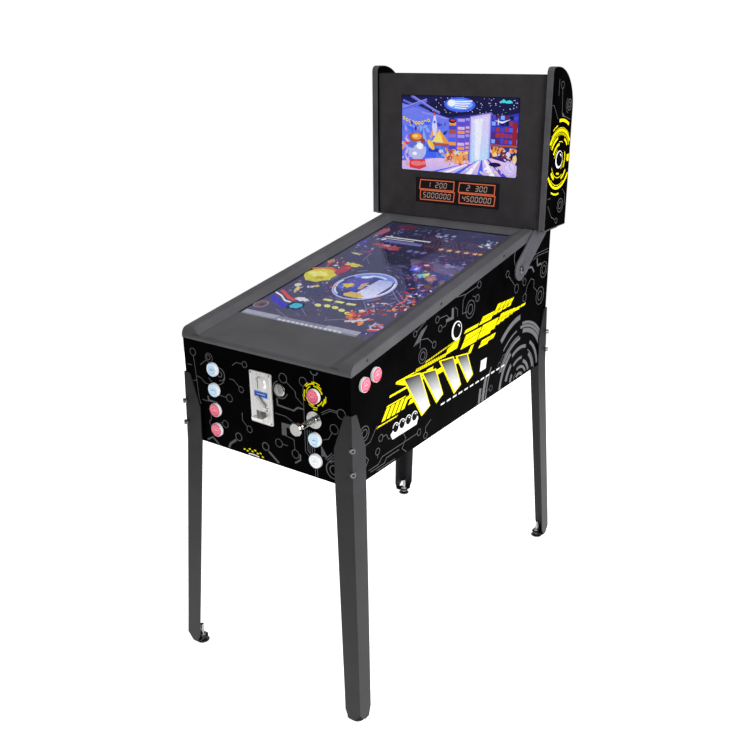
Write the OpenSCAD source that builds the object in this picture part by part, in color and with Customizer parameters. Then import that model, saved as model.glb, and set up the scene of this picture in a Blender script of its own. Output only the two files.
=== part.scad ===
// Virtual pinball machine: a sloped cabinet with a display under glass, a folding backbox with a
// second display and a score panel, four splayed steel legs, a shooter rod, lit buttons and a coin unit.
// Built in millimetres, +Z up, +X to the player's right. The player stands at -Y.

/* [Cabinet] */
// Outer width of the cabinet
cab_w = 500; // [480:5:520]
// Length of the cabinet, front face to rear face
cab_len = 990; // [980:5:1000]
// Height of the cabinet's underside above the floor
cab_z = 614; // [600:2:630]
// Height of the front panel
front_h = 262; // [250:2:280]
// Slope of the playfield and of the side rails, in degrees
slope = 9.5; // [9:0.1:9.8]
// Thickness of the cabinet boards
board_t = 15; // [12:1:18]

/* [Playfield display] */
// Length of the picture
screen_l = 698.4; // [690:0.2:700]
// Width of the picture
screen_w = 392.9; // [380:0.1:394]
// Distance from the cabinet's front edge to the picture
screen_start = 142; // [135:1:150]

/* [Backbox] */
// Outer width of the backbox
box_w = 575; // [565:1:590]
// Height of the backbox
box_h = 430; // [420:2:450]
// Depth of the backbox
box_d = 142; // [135:1:150]
// Picture width and height of the upper display
upper_screen = [382, 215]; // [300:1:390]
// Width and height of the score window
score_window = [280, 74]; // [70:1:290]

/* [Legs] */
// How far each leg spreads outward at the floor, along both sides
leg_spread = 37; // [25:1:40]
// Thickness of the leg steel
steel_t = 3; // [2:0.5:4]

/* [Controls] */
// Spacing of the button rows
row_pitch = 52; // [50:1:56]
// Distance of the button columns from the centre line
column_x = 154; // [148:1:156]
// Travel of a button
press = 3.5; // [2:0.5:3.5]

/* [Hidden] */
$fn = 48;

gap = 0.5;                          // clearance between pieces that only lie side by side
half_w = cab_w / 2;
inner_x = half_w - board_t;         // inner face of the side panels
inner_y = board_t;                  // inner face of the front panel
back_y = cab_len - board_t;         // inner face of the rear panel
floor_z = cab_z + board_t;          // top of the bottom panel
trim_z = cab_z + front_h;           // where the trim sits on the front panel
lip_h = 14;                         // height of the front lip
glass_z = trim_z + lip_h;           // the glass plane above the front face
seat_n = -lip_h * cos(slope);       // underside of the rails, square to the slope

// Legs: the fold line runs from the leg's head, past a slight bend, to the foot
head_z = 789.5;
bend_z = cab_z - 9;
heel_z = 34;
plate_z = 14;                       // underside of the foot plate
head_lean = 4.5;                    // spread at the bend
flange_w = 50;
bolt_zs = [655, 712];
foot_inset = 27;                    // foot centre, in from the outer faces of the leg
stud_r = 5;
foot_at = leg_spread + steel_t - foot_inset;
// How far a leg's outer faces stand out from the cabinet at height z
function reach_at(z) = steel_t + (z > bend_z
    ? head_lean * (head_z - z) / (head_z - bend_z)
    : head_lean + (leg_spread - head_lean) * (bend_z - z) / (bend_z - heel_z));
foot_reach = reach_at(plate_z);

// Shooter rod
plunger_at = [149, 757];
knob_face = -67;
knob_back = -58;

// The origin lies under the middle of the object's length
mid_y = (knob_face + cab_len + foot_reach) / 2;

// Backbox
box_half = box_w / 2;
box_front = 858;
box_z = 1044;
box_rear = box_front + box_d;
side_t = 18;
box_in = box_half - side_t;         // inner face of its side panels
face_y = box_front + 10;            // front of the recessed front board
face_t = 6;
crown_r = 110;                      // large rear corner of the side panels
nose_r = 16;                        // small front corner of the side panels
moulding_t = 2;
roof_drop = 20;                     // the roof lies this far inside the side panels' outline
roof_t = 8;
upper_z = 1287.5;                   // centre of the upper picture
score_z = 1125;                     // centre of the score window
shelf_z = box_z - gap;              // top of the cabinet's rear shelf
pivot = [787, 948];                 // fold axis of the backbox
pin_r = 6;
arm_r = 31;
arm_t = 5;
arm_x = half_w + 3;                 // inner face of the hinge arms, clear of the rails
arm_angle = 36.7;

// Controls on the front: columns of rows at one pitch
row_zs = [for (i = [0:3]) 814 - i * row_pitch];
lock_at = [53, 807];
coin_at = [-4, 774.5];
coin_size = [65, 127];
flippers = [[47, 847], [90, 857]];
hole_r = 14;

black = [0.03, 0.03, 0.03];
trim_grey = [0.2, 0.2, 0.21];
leg_grey = [0.17, 0.17, 0.18];
chrome = [0.8, 0.8, 0.82];
steel = [0.6, 0.6, 0.62];
white = [0.93, 0.93, 0.95];
red = [0.95, 0.35, 0.45];
blue = [0.72, 0.85, 0.98];
wood = [0.62, 0.5, 0.36];

function arc(centre, r, from, to, steps = 16) =
    [for (i = [0:steps]) let (a = from + (to - from) * i / steps)
        [centre[0] + r * cos(a), centre[1] + r * sin(a)]];
function trim_line(y) = trim_z + y * tan(slope);

// A plate drawn in (y, z) that runs from x0 to x1
module across(x0, x1) translate([x0, 0, 0]) rotate([90, 0, 90]) linear_extrude(x1 - x0) children();
// A plate drawn in (x, z) that runs from y0 to y1
module along(y0, y1) translate([0, y1, 0]) rotate([90, 0, 0]) linear_extrude(y1 - y0) children();
module box(low, high) translate(low) cube(high - low);
// The frame of the playfield: x across, y up the slope, z square to the glass
module on_slope() translate([0, 0, glass_z]) rotate([slope, 0, 0]) children();
// The frame of a control on the front panel: z points at the player
module on_front(at) translate([at[0], 0, at[1]]) rotate([90, 0, 0]) children();
// The frame of a control on a side panel, side 1 for the right and -1 for the left
module on_side(side, at) translate([side * half_w, at[0], at[1]]) rotate([0, side * 90, 0]) children();
module both_sides() { children(); mirror([1, 0, 0]) children(); }
module rounded(size, r) {
    union() {
        square([size[0] - 2 * r, size[1]], center = true);
        square([size[0], size[1] - 2 * r], center = true);
        for (x = [-1, 1], y = [-1, 1])
            translate([x * (size[0] / 2 - r), y * (size[1] / 2 - r)]) circle(r, $fn = 24);
    }
}

// ---- Legs ----

// The frame of one corner of the cabinet: x and y both point outward from it
module at_corner(side, end) translate([side * half_w, end < 0 ? 0 : cab_len, 0])
    flipped([1, 0, 0], side < 0) flipped([0, 1, 0], end < 0) children();
module flipped(way, on) if (on) mirror(way) children(); else children();
// x points outward along the corner's diagonal
module on_diagonal() rotate([0, 0, 45]) children();

// The flange that stands on the face square to y: a bent strip, cut to its outline
module flange() {
    edge = [plate_z, bend_z, head_z];
    widths = [[head_z, 16], [head_z - 3, 20], [head_z - 86, flange_w], [bend_z, flange_w],
        [heel_z + 4, flange_w - 6], [plate_z, flange_w - 14], [plate_z, 20]];
    intersection() {
        translate([-80, 0, 0]) rotate([90, 0, 90]) linear_extrude(160) polygon(concat(
            [for (z = edge) [reach_at(z), z]],
            [for (i = [2:-1:0]) [reach_at(edge[i]) - steel_t, edge[i]]]));
        translate([0, 80, 0]) rotate([90, 0, 0]) linear_extrude(160) polygon(concat(
            [for (z = [heel_z, bend_z, head_z]) [reach_at(z), z]],
            [for (w = widths) [reach_at(w[0]) - w[1], w[0]]]));
    }
}

module leg() difference() {
    union() {
        flange();
        mirror([1, -1, 0]) flange();
        // Foot plate, folded inward under the flanges
        translate([foot_reach, foot_reach, plate_z]) rotate([0, 0, 180]) linear_extrude(steel_t)
            polygon([[21, 2], [40, 2], [42, 6], [42, 34], [34, 42], [6, 42], [2, 40], [2, 21]]);
    }
    translate([foot_at, foot_at, 0]) cylinder(r = stud_r + 0.05, h = 40);
    for (z = bolt_zs) on_diagonal() leg_bolt_space(z);
}

// Where a bolt's head sits, on a flat cut into the fold
function seat_x(z) = reach_at(z) * sqrt(2) - 2.4;
// Clearance for a leg bolt: its shank and the flat that its head sits on
module leg_bolt_space(z) {
    translate([-80, 0, z]) rotate([0, 90, 0]) cylinder(r = 4.2, h = 120);
    translate([seat_x(z), 0, z]) rotate([0, 90, 0]) cylinder(r = 7.5, h = 40);
}
module leg_bolt(z) translate([seat_x(z), 0, z]) rotate([0, 90, 0]) difference() {
    union() {
        cylinder(r = 7.2, h = 1.4);
        translate([0, 0, 1.4]) cylinder(r = 6.2, h = 7);
        translate([0, 0, -58]) cylinder(r = 4, h = 60);
    }
    translate([0, 0, 4.5]) cylinder(r = 3.6, h = 6, $fn = 6);
}
module corner_bolt_holes()
    for (side = [-1, 1], end = [-1, 1], z = bolt_zs) at_corner(side, end) on_diagonal()
        translate([-80, 0, z]) rotate([0, 90, 0]) cylinder(r = 4.2, h = 120);

module front_legs() color(leg_grey) for (side = [-1, 1]) at_corner(side, -1) leg();
module rear_legs() color(leg_grey) for (side = [-1, 1]) at_corner(side, 1) leg();

module pivot_bolt() translate([0, pivot[0], pivot[1]]) rotate([0, 90, 0]) {
    head = arm_x + arm_t + 0.4;
    translate([0, 0, inner_x - 8]) cylinder(r = pin_r, h = head - inner_x + 9);
    translate([0, 0, half_w]) cylinder(r = 11, h = arm_x - half_w - 0.4);
    translate([0, 0, head]) cylinder(r = 10, h = 3);
    translate([0, 0, head + 3]) cylinder(r1 = 10, r2 = 7, h = 2);
    translate([0, 0, inner_x - 8]) cylinder(r = 9.5, h = 8, $fn = 6);
}
module cabinet_bolts() color(steel) {
    for (side = [-1, 1], end = [-1, 1], z = bolt_zs) at_corner(side, end) on_diagonal() leg_bolt(z);
    both_sides() pivot_bolt();
}

module foot() color(chrome) translate([foot_at, foot_at, 0]) {
    rotate_extrude() polygon([[0, 0], [16.5, 0], [17.5, 1], [17.5, 3], [15, 5], [8, 7.5], [8, 8], [0, 8]]);
    translate([0, 0, 8]) cylinder(r = 8, h = 3.5, $fn = 6);
    translate([0, 0, 8]) cylinder(r = stud_r, h = 44);
}
module foot_jam_nuts() color(steel) for (side = [-1, 1], end = [-1, 1]) at_corner(side, end)
    translate([foot_at, foot_at, plate_z + steel_t]) difference() {
        cylinder(r = 9.8, h = 6, $fn = 6);
        translate([0, 0, -1]) cylinder(r = stud_r + 0.05, h = 8);
    }

// ---- Cabinet ----

module flipper_holes() for (at = flippers, side = [-1, 1])
    on_side(side, at) translate([0, 0, -board_t - 1]) cylinder(r = hole_r, h = board_t + 2);

module side_panels() color(black) difference() {
    both_sides() across(inner_x, half_w) polygon([
        [inner_y, cab_z], [cab_len, cab_z], [cab_len, shelf_z], [face_y - 2, shelf_z],
        [face_y - 2, trim_line(face_y - 2)], [inner_y, trim_line(inner_y)]]);
    flipper_holes();
    corner_bolt_holes();
    translate([-half_w - 1, pivot[0], pivot[1]]) rotate([0, 90, 0]) cylinder(r = pin_r + 0.2, h = cab_w + 2);
}

module front_hole(at, r) on_front(at) translate([0, 0, -board_t - 1]) cylinder(r = r, h = board_t + 2);
module front_panel() color(black) difference() {
    box([-half_w, 0, cab_z], [half_w, board_t, trim_z]);
    for (at = front_buttons()) front_hole(at, hole_r);
    front_hole(lock_at, 9.6);
    front_hole(plunger_at, 10.2);
    box([coin_at[0] - 29.5, -1, coin_at[1] - 58], [coin_at[0] + 29.5, board_t + 1, coin_at[1] + 58]);
    corner_bolt_holes();
}

fan_at = [130, 800];
inlet_at = [-150, 690];
module rear_panel() color(black) difference() {
    box([-inner_x, back_y, cab_z], [inner_x, cab_len, shelf_z - board_t]);
    for (i = [-3:3]) translate([fan_at[0], back_y, fan_at[1] + i * 11])
        box([-36, -1, -2.5], [36, board_t + 1, 2.5]);
    for (x = [-120:60:0], i = [0:4]) translate([x, back_y, 800 + i * 22])
        box([-20, -1, -3], [20, board_t + 1, 3]);
    translate([inlet_at[0], back_y, inlet_at[1]]) box([-14.5, -1, -24.5], [14.5, board_t + 1, 24.5]);
    corner_bolt_holes();
}

speaker_xs = [-110, 110];
speaker_y = 330;
module bottom_panel() color(black) difference() {
    box([-inner_x, inner_y, cab_z], [inner_x, back_y, floor_z]);
    for (x = speaker_xs) translate([x, speaker_y, cab_z - 1]) cylinder(r = 46, h = board_t + 2);
    for (i = [0:5]) translate([0, 780 + i * 18, cab_z]) box([-60, -3, -1], [60, 3, board_t + 1]);
}

module cable_slot() translate([0, 925, 0]) box([-60, -22, shelf_z - 20], [60, 22, box_z + 20]);
module rear_shelf() color(black) difference() {
    box([-inner_x, face_y - 2, shelf_z - board_t], [inner_x, cab_len, shelf_z]);
    cable_slot();
}

// ---- Trim, glass and the playfield display ----

rail_out = half_w + 2;
rail_flat = 30;
bevel_end = screen_w / 2 + gap;
rail_top = 11 * cos(slope);
rail_front = -2;
rail_rear = 875;
groove_x = bevel_end + 19.5;
screen_end = screen_start + screen_l;
glass_end = screen_end + 15;

module side_rails() color(trim_grey) on_slope() both_sides() intersection() {
    along(rail_front, rail_rear) polygon([
        [rail_out, seat_n], [rail_out, rail_top - 2], [rail_out - 2, rail_top],
        [rail_out - rail_flat, rail_top], [bevel_end, 0.9], [bevel_end, 0.1],
        [groove_x, 0.1], [groove_x, seat_n]]);
    nose = 22;
    across(0, cab_w) polygon(concat(
        [[rail_front, seat_n - 1]],
        arc([rail_front + nose, rail_top - nose], nose, 180, 90),
        [[rail_rear, rail_top], [rail_rear, seat_n - 1]]));
}

module front_apron() color(trim_grey) on_slope() {
    nose = 8;
    across(-groove_x + 0.2, groove_x - 0.2) polygon(concat(
        [[rail_front, seat_n]],
        arc([rail_front + nose, -nose], nose, 180, 90, 10),
        [[screen_start - gap, 0], [screen_start - gap, -4], [16, -4], [14, seat_n]]));
}

module rear_trim() color(trim_grey) difference() {
    on_slope() across(-groove_x, groove_x) polygon([
        [screen_end + gap, 0.1], [screen_end + gap, 0.9], [glass_end, rail_top],
        [rail_rear - 1, rail_top], [rail_rear - 1, seat_n], [glass_end + 1.5, seat_n],
        [glass_end + 1.5, 0.1]]);
    on_slope() both_sides() box([bevel_end - 0.1, screen_end, -40], [cab_w, rail_rear + 40, 0.95]);
    on_slope() both_sides() along(screen_end - 5, rail_rear + 5)
        polygon([[bevel_end - 0.1, 0.9], [rail_out - rail_flat, rail_top + 0.1],
            [cab_w, rail_top + 0.1], [cab_w, 0.9]]);
}

module playfield_glass() color([0.6, 0.65, 0.7, 0.35]) on_slope()
    box([-groove_x + gap, screen_start, -4], [groove_x - gap, glass_end + 1, 0]);

module playfield_display() color([0.1, 0.1, 0.3]) on_slope() {
    bezel = 10;
    box([-screen_w / 2 - bezel, screen_start - bezel, -22.6],
        [screen_w / 2 + bezel, screen_end + bezel, -5]);
}

module inner_supports() color(wood) {
    on_slope() both_sides() box([190, screen_start + 10, -45], [inner_x, 850, -22.6]);
    block = 55;
    difference() {
        both_sides() {
            translate([inner_x, inner_y, floor_z]) linear_extrude(170)
                polygon([[0, 0], [-block, 0], [0, block]]);
            translate([inner_x, back_y, floor_z]) linear_extrude(170)
                polygon([[0, 0], [-block, 0], [0, -block]]);
        }
        corner_bolt_holes();
    }
}

// ---- Buttons ----

function front_buttons() = concat(
    [for (z = row_zs) [-column_x, z]],
    [for (i = [0, 2, 3]) [column_x - 3, row_zs[i]]]);

// A button's white ring and threaded neck; the outer face of the panel is at z = 0
ring_r = 17.2;
module bezel() rotate_extrude() polygon([
    [15.9, 6.3], [16.3, 6.8], [16.7, 6.7], [ring_r, 5.6], [ring_r, 0], [13.8, 0], [13.8, -28],
    [11.9, -28], [11.9, 1], [15.9, 1]]);
module cap() {
    rotate_extrude() polygon([
        [0, 7.7], [10, 7.8], [14.2, 8.2], [15.2, 7.9], [15.6, 7.2], [15.6, press + 1.3], [0, press + 1.3]]);
    translate([0, 0, -24]) cylinder(r = 11.6, h = 30);
}
// The ring nut behind the panel and the microswitch behind the neck
module nut_and_switch() {
    translate([0, 0, -board_t - 4]) difference() {
        cylinder(r = 18, h = 4, $fn = 6);
        translate([0, 0, -1]) cylinder(r = 13.9, h = 6);
    }
    box([-10, -5, -44], [10, 5, -28.2]);
}
module at_every_button() {
    for (at = front_buttons()) on_front(at) children();
    for (side = [-1, 1], at = flippers) on_side(side, at) children();
}
module button_bezels() color(white) at_every_button() bezel();
module button_switches() color(black) at_every_button() nut_and_switch();
module front_button(i, tint) color(tint) on_front(front_buttons()[i]) cap();
module flipper_button(side, i) color(red) on_side(side, flippers[i]) cap();

// ---- Coin unit, lock and shooter rod ----

slot_x = coin_at[0] - 5;
slot_z = coin_at[1] + 36.5;
slot_half = [1.6, 16];
lever_at = [coin_at[0] - 6, coin_at[1] + 2];
flap_pin_r = 1.3;
cup = [coin_at[0] - 19, coin_at[0] + 15, 714, 742];     // left, right, floor and brow of the return opening
cup_reach = 16;

module coin_slot() translate([slot_x, 0, slot_z])
    box([-slot_half[0], -8, -slot_half[1]], [slot_half[0], 40, slot_half[1]]);
module flap_pin(r, reach) translate([cup[0] - reach, 1.9, flap_pin_z]) rotate([0, 90, 0])
    cylinder(r = r, h = cup[1] - cup[0] + 2 * reach);
module coin_plate() color(chrome) {
    difference() {
        union() {
            translate([coin_at[0], 0, coin_at[1]]) along(-3, 0) rounded(coin_size, 3);
            on_front([slot_x + 6, slot_z]) translate([0, 0, 3]) cylinder(r1 = 17, r2 = 14, h = 4);
        }
        coin_slot();
        box([cup[0] + 2, -8, cup[2] + 2], [cup[1] - 2, 1, cup[3]]);
        on_front(lever_at) translate([0, 0, -1]) cylinder(r = 2.45, h = 8);
    }
    // The scoop of the coin return, open at the top
    difference() {
        across(cup[0], cup[1]) polygon(concat(
            [[-3, cup[2]]], arc([-3, cup[2] + cup_reach], cup_reach, 270, 180, 12),
            [[-3, cup[2] + cup_reach]]));
        across(cup[0] + 1.6, cup[1] - 1.6) polygon(concat(
            [[1, cup[2] + 1.6]], arc([-3, cup[2] + cup_reach], cup_reach - 1.6, 270, 180, 12),
            [[-3 - cup_reach, cup[2] + 40], [1, cup[2] + 40]]));
    }
}

module coin_acceptor() color(black) difference() {
    box([coin_at[0] - 28, 0, coin_at[1] - 56], [coin_at[0] + 28, 70, coin_at[1] + 56]);
    coin_slot();
    box([cup[0] - 3, -1, coin_at[1] - 60], [cup[1] + 3, 40, cup[3] + 4.5]);
    flap_pin(flap_pin_r + 0.05, 6.5);
    on_front(lever_at) translate([0, 0, -8]) cylinder(r = 3, h = 9);
}

module coin_return_lever() color(chrome) {
    on_front(lever_at) translate([0, 0, -6]) cylinder(r = 2.4, h = 13);
    lever = 25;
    on_front(lever_at) translate([0, 0, 3.6]) rotate([0, 0, -47]) linear_extrude(3.4) union() {
        circle(4.2);
        translate([0, -3]) square([lever, 6]);
        translate([lever, 0]) circle(4.2);
    }
}

flap_pin_z = cup[3] + 2.2;
module coin_return_flap() color(steel) {
    box([cup[0] + 1, 0.8, cup[2] + 3], [cup[1] - 1, 2, flap_pin_z]);
    flap_pin(flap_pin_r, 6);
}

module plate_screws() color(steel) {
    for (x = [-1, 1], z = [-1, 1])
        on_front([coin_at[0] + x * (coin_size[0] / 2 - 4.5), coin_at[1] + z * (coin_size[1] / 2 - 4.5)])
            translate([0, 0, 3]) cylinder(r1 = 2.8, r2 = 1.8, h = 1.4);
    for (a = [30, 150, 270]) on_front(plunger_at) rotate([0, 0, a]) translate([16.5, 0, 3])
        cylinder(r1 = 2.6, r2 = 1.8, h = 1.2);
}

module lock_barrel() color(chrome) on_front(lock_at) difference() {
    union() {
        rotate_extrude() polygon([[0, 0], [15.5, 0], [15.5, 3], [13.5, 5], [0, 5]]);
        translate([0, 0, -26]) cylinder(r = 9.4, h = 27);
        translate([0, 0, -board_t - 5]) cylinder(r = 14, h = 4.5, $fn = 6);
    }
    translate([0, 0, -30]) cylinder(r = 6.6, h = 40);
}
module lock_plug() color(steel) on_front(lock_at) {
    difference() {
        translate([0, 0, -28]) cylinder(r = 6.4, h = 33.6);
        box([-0.8, -4, 2], [0.8, 4, 7]);
    }
    translate([0, 0, -30]) linear_extrude(2.4) union() {
        circle(8);
        translate([-6, 0]) square([12, 36]);
    }
}

// One turn after another of a wire, swept as rings square to the helix
module coil(r, wire, length, turns) {
    sides = 8;
    per_turn = 14;
    rings = turns * per_turn;
    points = [for (i = [0:rings], k = [0:sides - 1])
        let (a = 360 * i / per_turn, b = 360 * k / sides, rr = r + wire * cos(b))
            [rr * cos(a), rr * sin(a), length * i / rings + wire * sin(b)]];
    walls = [for (i = [0:rings - 1], k = [0:sides - 1])
        let (n = (k + 1) % sides)
            [i * sides + k, i * sides + n, (i + 1) * sides + n, (i + 1) * sides + k]];
    ends = [[for (k = [sides - 1:-1:0]) k], [for (k = [0:sides - 1]) rings * sides + k]];
    polyhedron(points, concat(walls, ends));
}

rod_r = 4;
spring_from = -32;                  // the main spring, behind the housing's sleeve
spring_to = -100;
module plunger_housing() color(chrome) on_front(plunger_at) difference() {
    union() {
        rotate_extrude() polygon([[0, 0], [21, 0], [21, 2.2], [20, 3], [8.4, 3], [7, 5], [0, 5]]);
        translate([0, 0, spring_from + 1.5]) cylinder(r = 10, h = -spring_from);
        translate([0, 0, 4]) cylinder(r = 5.6, h = 4);
    }
    translate([0, 0, spring_from - 10]) cylinder(r = rod_r + 0.08, h = 80);
}
module plunger_rod() color(chrome) on_front(plunger_at) {
    translate([0, 0, -118]) cylinder(r = rod_r, h = 118 - knob_back - 1);
    translate([0, 0, 33]) rotate_extrude() polygon([
        [rod_r - 1, 0], [5.6, 0], [7.2, 4], [7.2, 14], [5.6, 17], [7, 22], [11, -knob_back - 33],
        [rod_r - 1, -knob_back - 33]]);
    translate([0, 0, -knob_back]) rotate_extrude() polygon([
        [0, -1], [13.5, 0], [15.5, 2], [15.5, 6], [14, -knob_face + knob_back], [0, -knob_face + knob_back]]);
    translate([0, 0, spring_to - 3.4]) cylinder(r = 8.5, h = 2.5);
    translate([0, 0, -126]) cylinder(r1 = 4.5, r2 = 6, h = 10);
}
module plunger_spring() color(steel) on_front(plunger_at)
    translate([0, 0, spring_to]) coil(6.2, 0.8, spring_from - spring_to, 10);
module plunger_barrel_spring() color(steel) on_front(plunger_at)
    translate([0, 0, 9.2]) coil(6.4, 0.9, 21, 5);

// ---- Inside the cabinet ----

module speakers() color(black) for (x = speaker_xs) translate([x, speaker_y, floor_z]) {
    difference() {
        rotate_extrude() polygon([[0, -4], [12, -2], [42, 2], [44, 0], [54, 0], [54, 4], [46, 8],
            [34, 30], [34, 46], [0, 46]]);
        for (a = [45:90:315]) rotate([0, 0, a]) translate([50, 0, -1]) cylinder(r = 2.2, h = 8);
    }
}
module computer() color([0.25, 0.25, 0.28]) difference() {
    box([20, 560, floor_z], [210, 740, floor_z + 62]);
    for (i = [0:6]) box([40 + i * 22, 570, floor_z + 56], [50 + i * 22, 730, floor_z + 63]);
}
module power_supply() color([0.4, 0.4, 0.42]) difference() {
    box([-205, 600, floor_z], [-60, 740, floor_z + 86]);
    for (i = [0:6]) box([-190, 606 + i * 18, floor_z + 80], [-75, 614 + i * 18, floor_z + 87]);
}
module io_board() color([0.1, 0.35, 0.2]) {
    box([-60, 150, floor_z + 8], [60, 230, floor_z + 9.6]);
    for (x = [-54, 54], y = [156, 224]) translate([x, y, floor_z]) cylinder(r = 3, h = 8);
    for (i = [0:4]) box([-50 + i * 21, 160, floor_z + 9.6], [-34 + i * 21, 172, floor_z + 19]);
}
// Rocker and inlet share one snap-in body; the outer face of the rear panel is at y = cab_len
rocker_z = inlet_at[1] + 14;
module mains_inlet() color(black) translate([inlet_at[0], cab_len, inlet_at[1]]) difference() {
    union() {
        box([-17.5, 0, -28], [17.5, 3, 28]);
        box([-14, -30, -24], [14, 1, 24]);
    }
    box([-12, -16, -20], [12, 4, -3.5]);
    box([-8.4, -12, 5.6], [8.4, 4, 22.4]);
}
module rocker_switch() color([0.7, 0.1, 0.1]) translate([inlet_at[0] - 8, cab_len, rocker_z])
    rotate([90, 0, 90]) rotate([0, 0, -6]) linear_extrude(16)
        polygon([[4.8, -7.2], [2.6, 0], [4.8, 7.2], [-4, 6.4], [-4, -6.4]]);
module fan_frame() color(black) translate([fan_at[0], back_y - 25, fan_at[1]]) difference() {
    box([-40, 0, -40], [40, 24.8, 40]);
    difference() {
        translate([0, -1, 0]) rotate([-90, 0, 0]) cylinder(r = 37.5, h = 30);
        box([-40, -2, -2], [40, 3, 2]);
        box([-2, -2, -40], [2, 3, 40]);
        translate([0, -2, 0]) rotate([-90, 0, 0]) cylinder(r = 14, h = 5);
    }
    translate([0, -1, 0]) rotate([-90, 0, 0]) cylinder(r = 2.05, h = 8);
}
module fan_rotor() color([0.12, 0.12, 0.12])
    translate([fan_at[0], back_y - 21.5, fan_at[1]]) rotate([-90, 0, 0]) {
        translate([0, 0, -3]) cylinder(r = 2, h = 5);
        cylinder(r = 14, h = 19);
        intersection() {
            cylinder(r = 36, h = 19);
            for (a = [0:360 / 7:359]) rotate([0, 0, a]) translate([12, 0, 9.5]) rotate([35, 0, 0])
                box([0, -9, -0.9], [26, 9, 0.9]);
        }
    }

// ---- Backbox ----

// Outline of a backbox side panel in (y, z), taken in by d all round
function side_outline(d) = concat(
    [[box_front + d, box_z + d], [box_rear - d, box_z + d]],
    arc([box_rear - crown_r, box_z + box_h - crown_r], crown_r - d, 0, 90, 20),
    arc([box_front + nose_r, box_z + box_h - nose_r], nose_r - d, 90, 180, 8));

module backbox_sides() color(black) both_sides() across(box_in, box_half) intersection() {
    polygon(side_outline(moulding_t));
    translate([0, box_z]) square([2000, 1000]);
}
module backbox_edge_trims() color(trim_grey) both_sides() across(box_in, box_half) difference() {
    polygon(side_outline(0));
    polygon(side_outline(moulding_t));
}
module backbox_front_board() color(black) along(face_y, face_y + face_t) difference() {
    translate([-box_in, box_z]) square([2 * box_in, box_h - roof_drop - 2]);
    translate([0, upper_z]) square(upper_screen, center = true);
    translate([0, score_z]) square(score_window, center = true);
}
module backbox_floor() color(black) difference() {
    box([-box_in, face_y + face_t, box_z], [box_in, box_rear - roof_drop - roof_t - 1, box_z + board_t]);
    cable_slot();
}
crown = [box_rear - crown_r, box_z + box_h - crown_r];
module backbox_roof() color(black) across(-box_in, box_in) polygon(concat(
    [[face_y + face_t, crown[1] + crown_r - roof_drop - roof_t]],
    [[face_y + face_t, crown[1] + crown_r - roof_drop]],
    arc(crown, crown_r - roof_drop, 90, 0, 16),
    arc(crown, crown_r - roof_drop - roof_t, 0, 90, 16)));
module backbox_rear_cover() color(black) difference() {
    cover_y = box_rear - roof_drop;
    box([-box_in + gap, cover_y - roof_t, box_z], [box_in - gap, cover_y, crown[1] - 1]);
    for (x = [-180:40:180], z = [1280, 1310]) translate([x, cover_y, z])
        box([-3, -roof_t - 1, -12], [3, 1, 12]);
}
// A panel behind the front board, whose lit face stands forward into the board's window
module in_window(size, z, face_drop, depth, below, above) translate([0, 0, z]) union() {
    back = face_y + face_t + 0.3;
    box([-size[0] / 2 - 9, back, -size[1] / 2 - below], [size[0] / 2 + 9, back + depth, size[1] / 2 + above]);
    box([-size[0] / 2 + 0.2, face_y + face_drop, -size[1] / 2 + 0.2],
        [size[0] / 2 - 0.2, back + 1, size[1] / 2 - 0.2]);
}
module backbox_display() color([0.1, 0.1, 0.3]) in_window(upper_screen, upper_z, 2, 14, 12, 9);
module score_display() color([0.05, 0.02, 0.02]) in_window(score_window, score_z, 1.5, 11, 6, 5);

// Folded steel arm: a plate that turns on the pivot bolt and a flange under the backbox
module hinge_arms() color(trim_grey) both_sides() difference() {
    top = box_z;
    union() {
        across(arm_x, arm_x + arm_t) intersection() {
            polygon([each arc(pivot, arm_r, 90 + arm_angle, 270 + arm_angle, 24),
                each [for (side = [-1, 1]) pivot + 260 * [cos(arm_angle), sin(arm_angle)]
                    + side * arm_r * [-sin(arm_angle), cos(arm_angle)]]]);
            translate([0, 800]) square([958, top - 800]);
        }
        box([arm_x, face_y + 2, top - 4], [box_half - 4, 958, top]);
    }
    translate([0, pivot[0], pivot[1]]) rotate([0, 90, 0]) cylinder(r = pin_r + 0.06, h = cab_w);
}

// Everything is placed with its middle over the origin
translate([0, -mid_y, 0]) {
    side_panels();
    front_panel();
    rear_panel();
    bottom_panel();
    rear_shelf();
    side_rails();
    front_apron();
    rear_trim();
    playfield_glass();
    playfield_display();
    inner_supports();
    front_legs();
    rear_legs();
    cabinet_bolts();
    foot_jam_nuts();
    button_bezels();
    button_switches();
    coin_plate();
    coin_acceptor();
    plate_screws();
    lock_barrel();
    plunger_housing();
    plunger_barrel_spring();
    speakers();
    computer();
    power_supply();
    io_board();
    mains_inlet();
    fan_frame();
    front_button(0, blue);  // button_left_1
    front_button(1, blue);  // button_left_2
    front_button(2, red);  // button_left_3
    front_button(3, red);  // button_left_4
    front_button(4, red);  // launch_button
    front_button(5, blue);  // button_right_3
    front_button(6, white);  // button_right_4
    flipper_button(1, 0);  // flipper_button_right_front
    flipper_button(1, 1);  // flipper_button_right_rear
    flipper_button(-1, 0);  // flipper_button_left_front
    flipper_button(-1, 1);  // flipper_button_left_rear
    plunger_rod();
    plunger_spring();
    coin_return_lever();
    coin_return_flap();
    lock_plug();
    at_corner(-1, -1) foot();  // foot_front_left
    at_corner(1, -1) foot();  // foot_front_right
    at_corner(-1, 1) foot();  // foot_rear_left
    at_corner(1, 1) foot();  // foot_rear_right
    rocker_switch();
    fan_rotor();
    backbox_sides();
    backbox_edge_trims();
    backbox_front_board();
    backbox_floor();
    backbox_roof();
    backbox_display();
    score_display();
    hinge_arms();
    backbox_rear_cover();
}
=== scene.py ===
# A virtual pinball machine, finished piece by piece in the order in which it is put together.
# Sizes are in millimetres unless a name says otherwise, and heights are measured from the floor.
import math
import random

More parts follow.
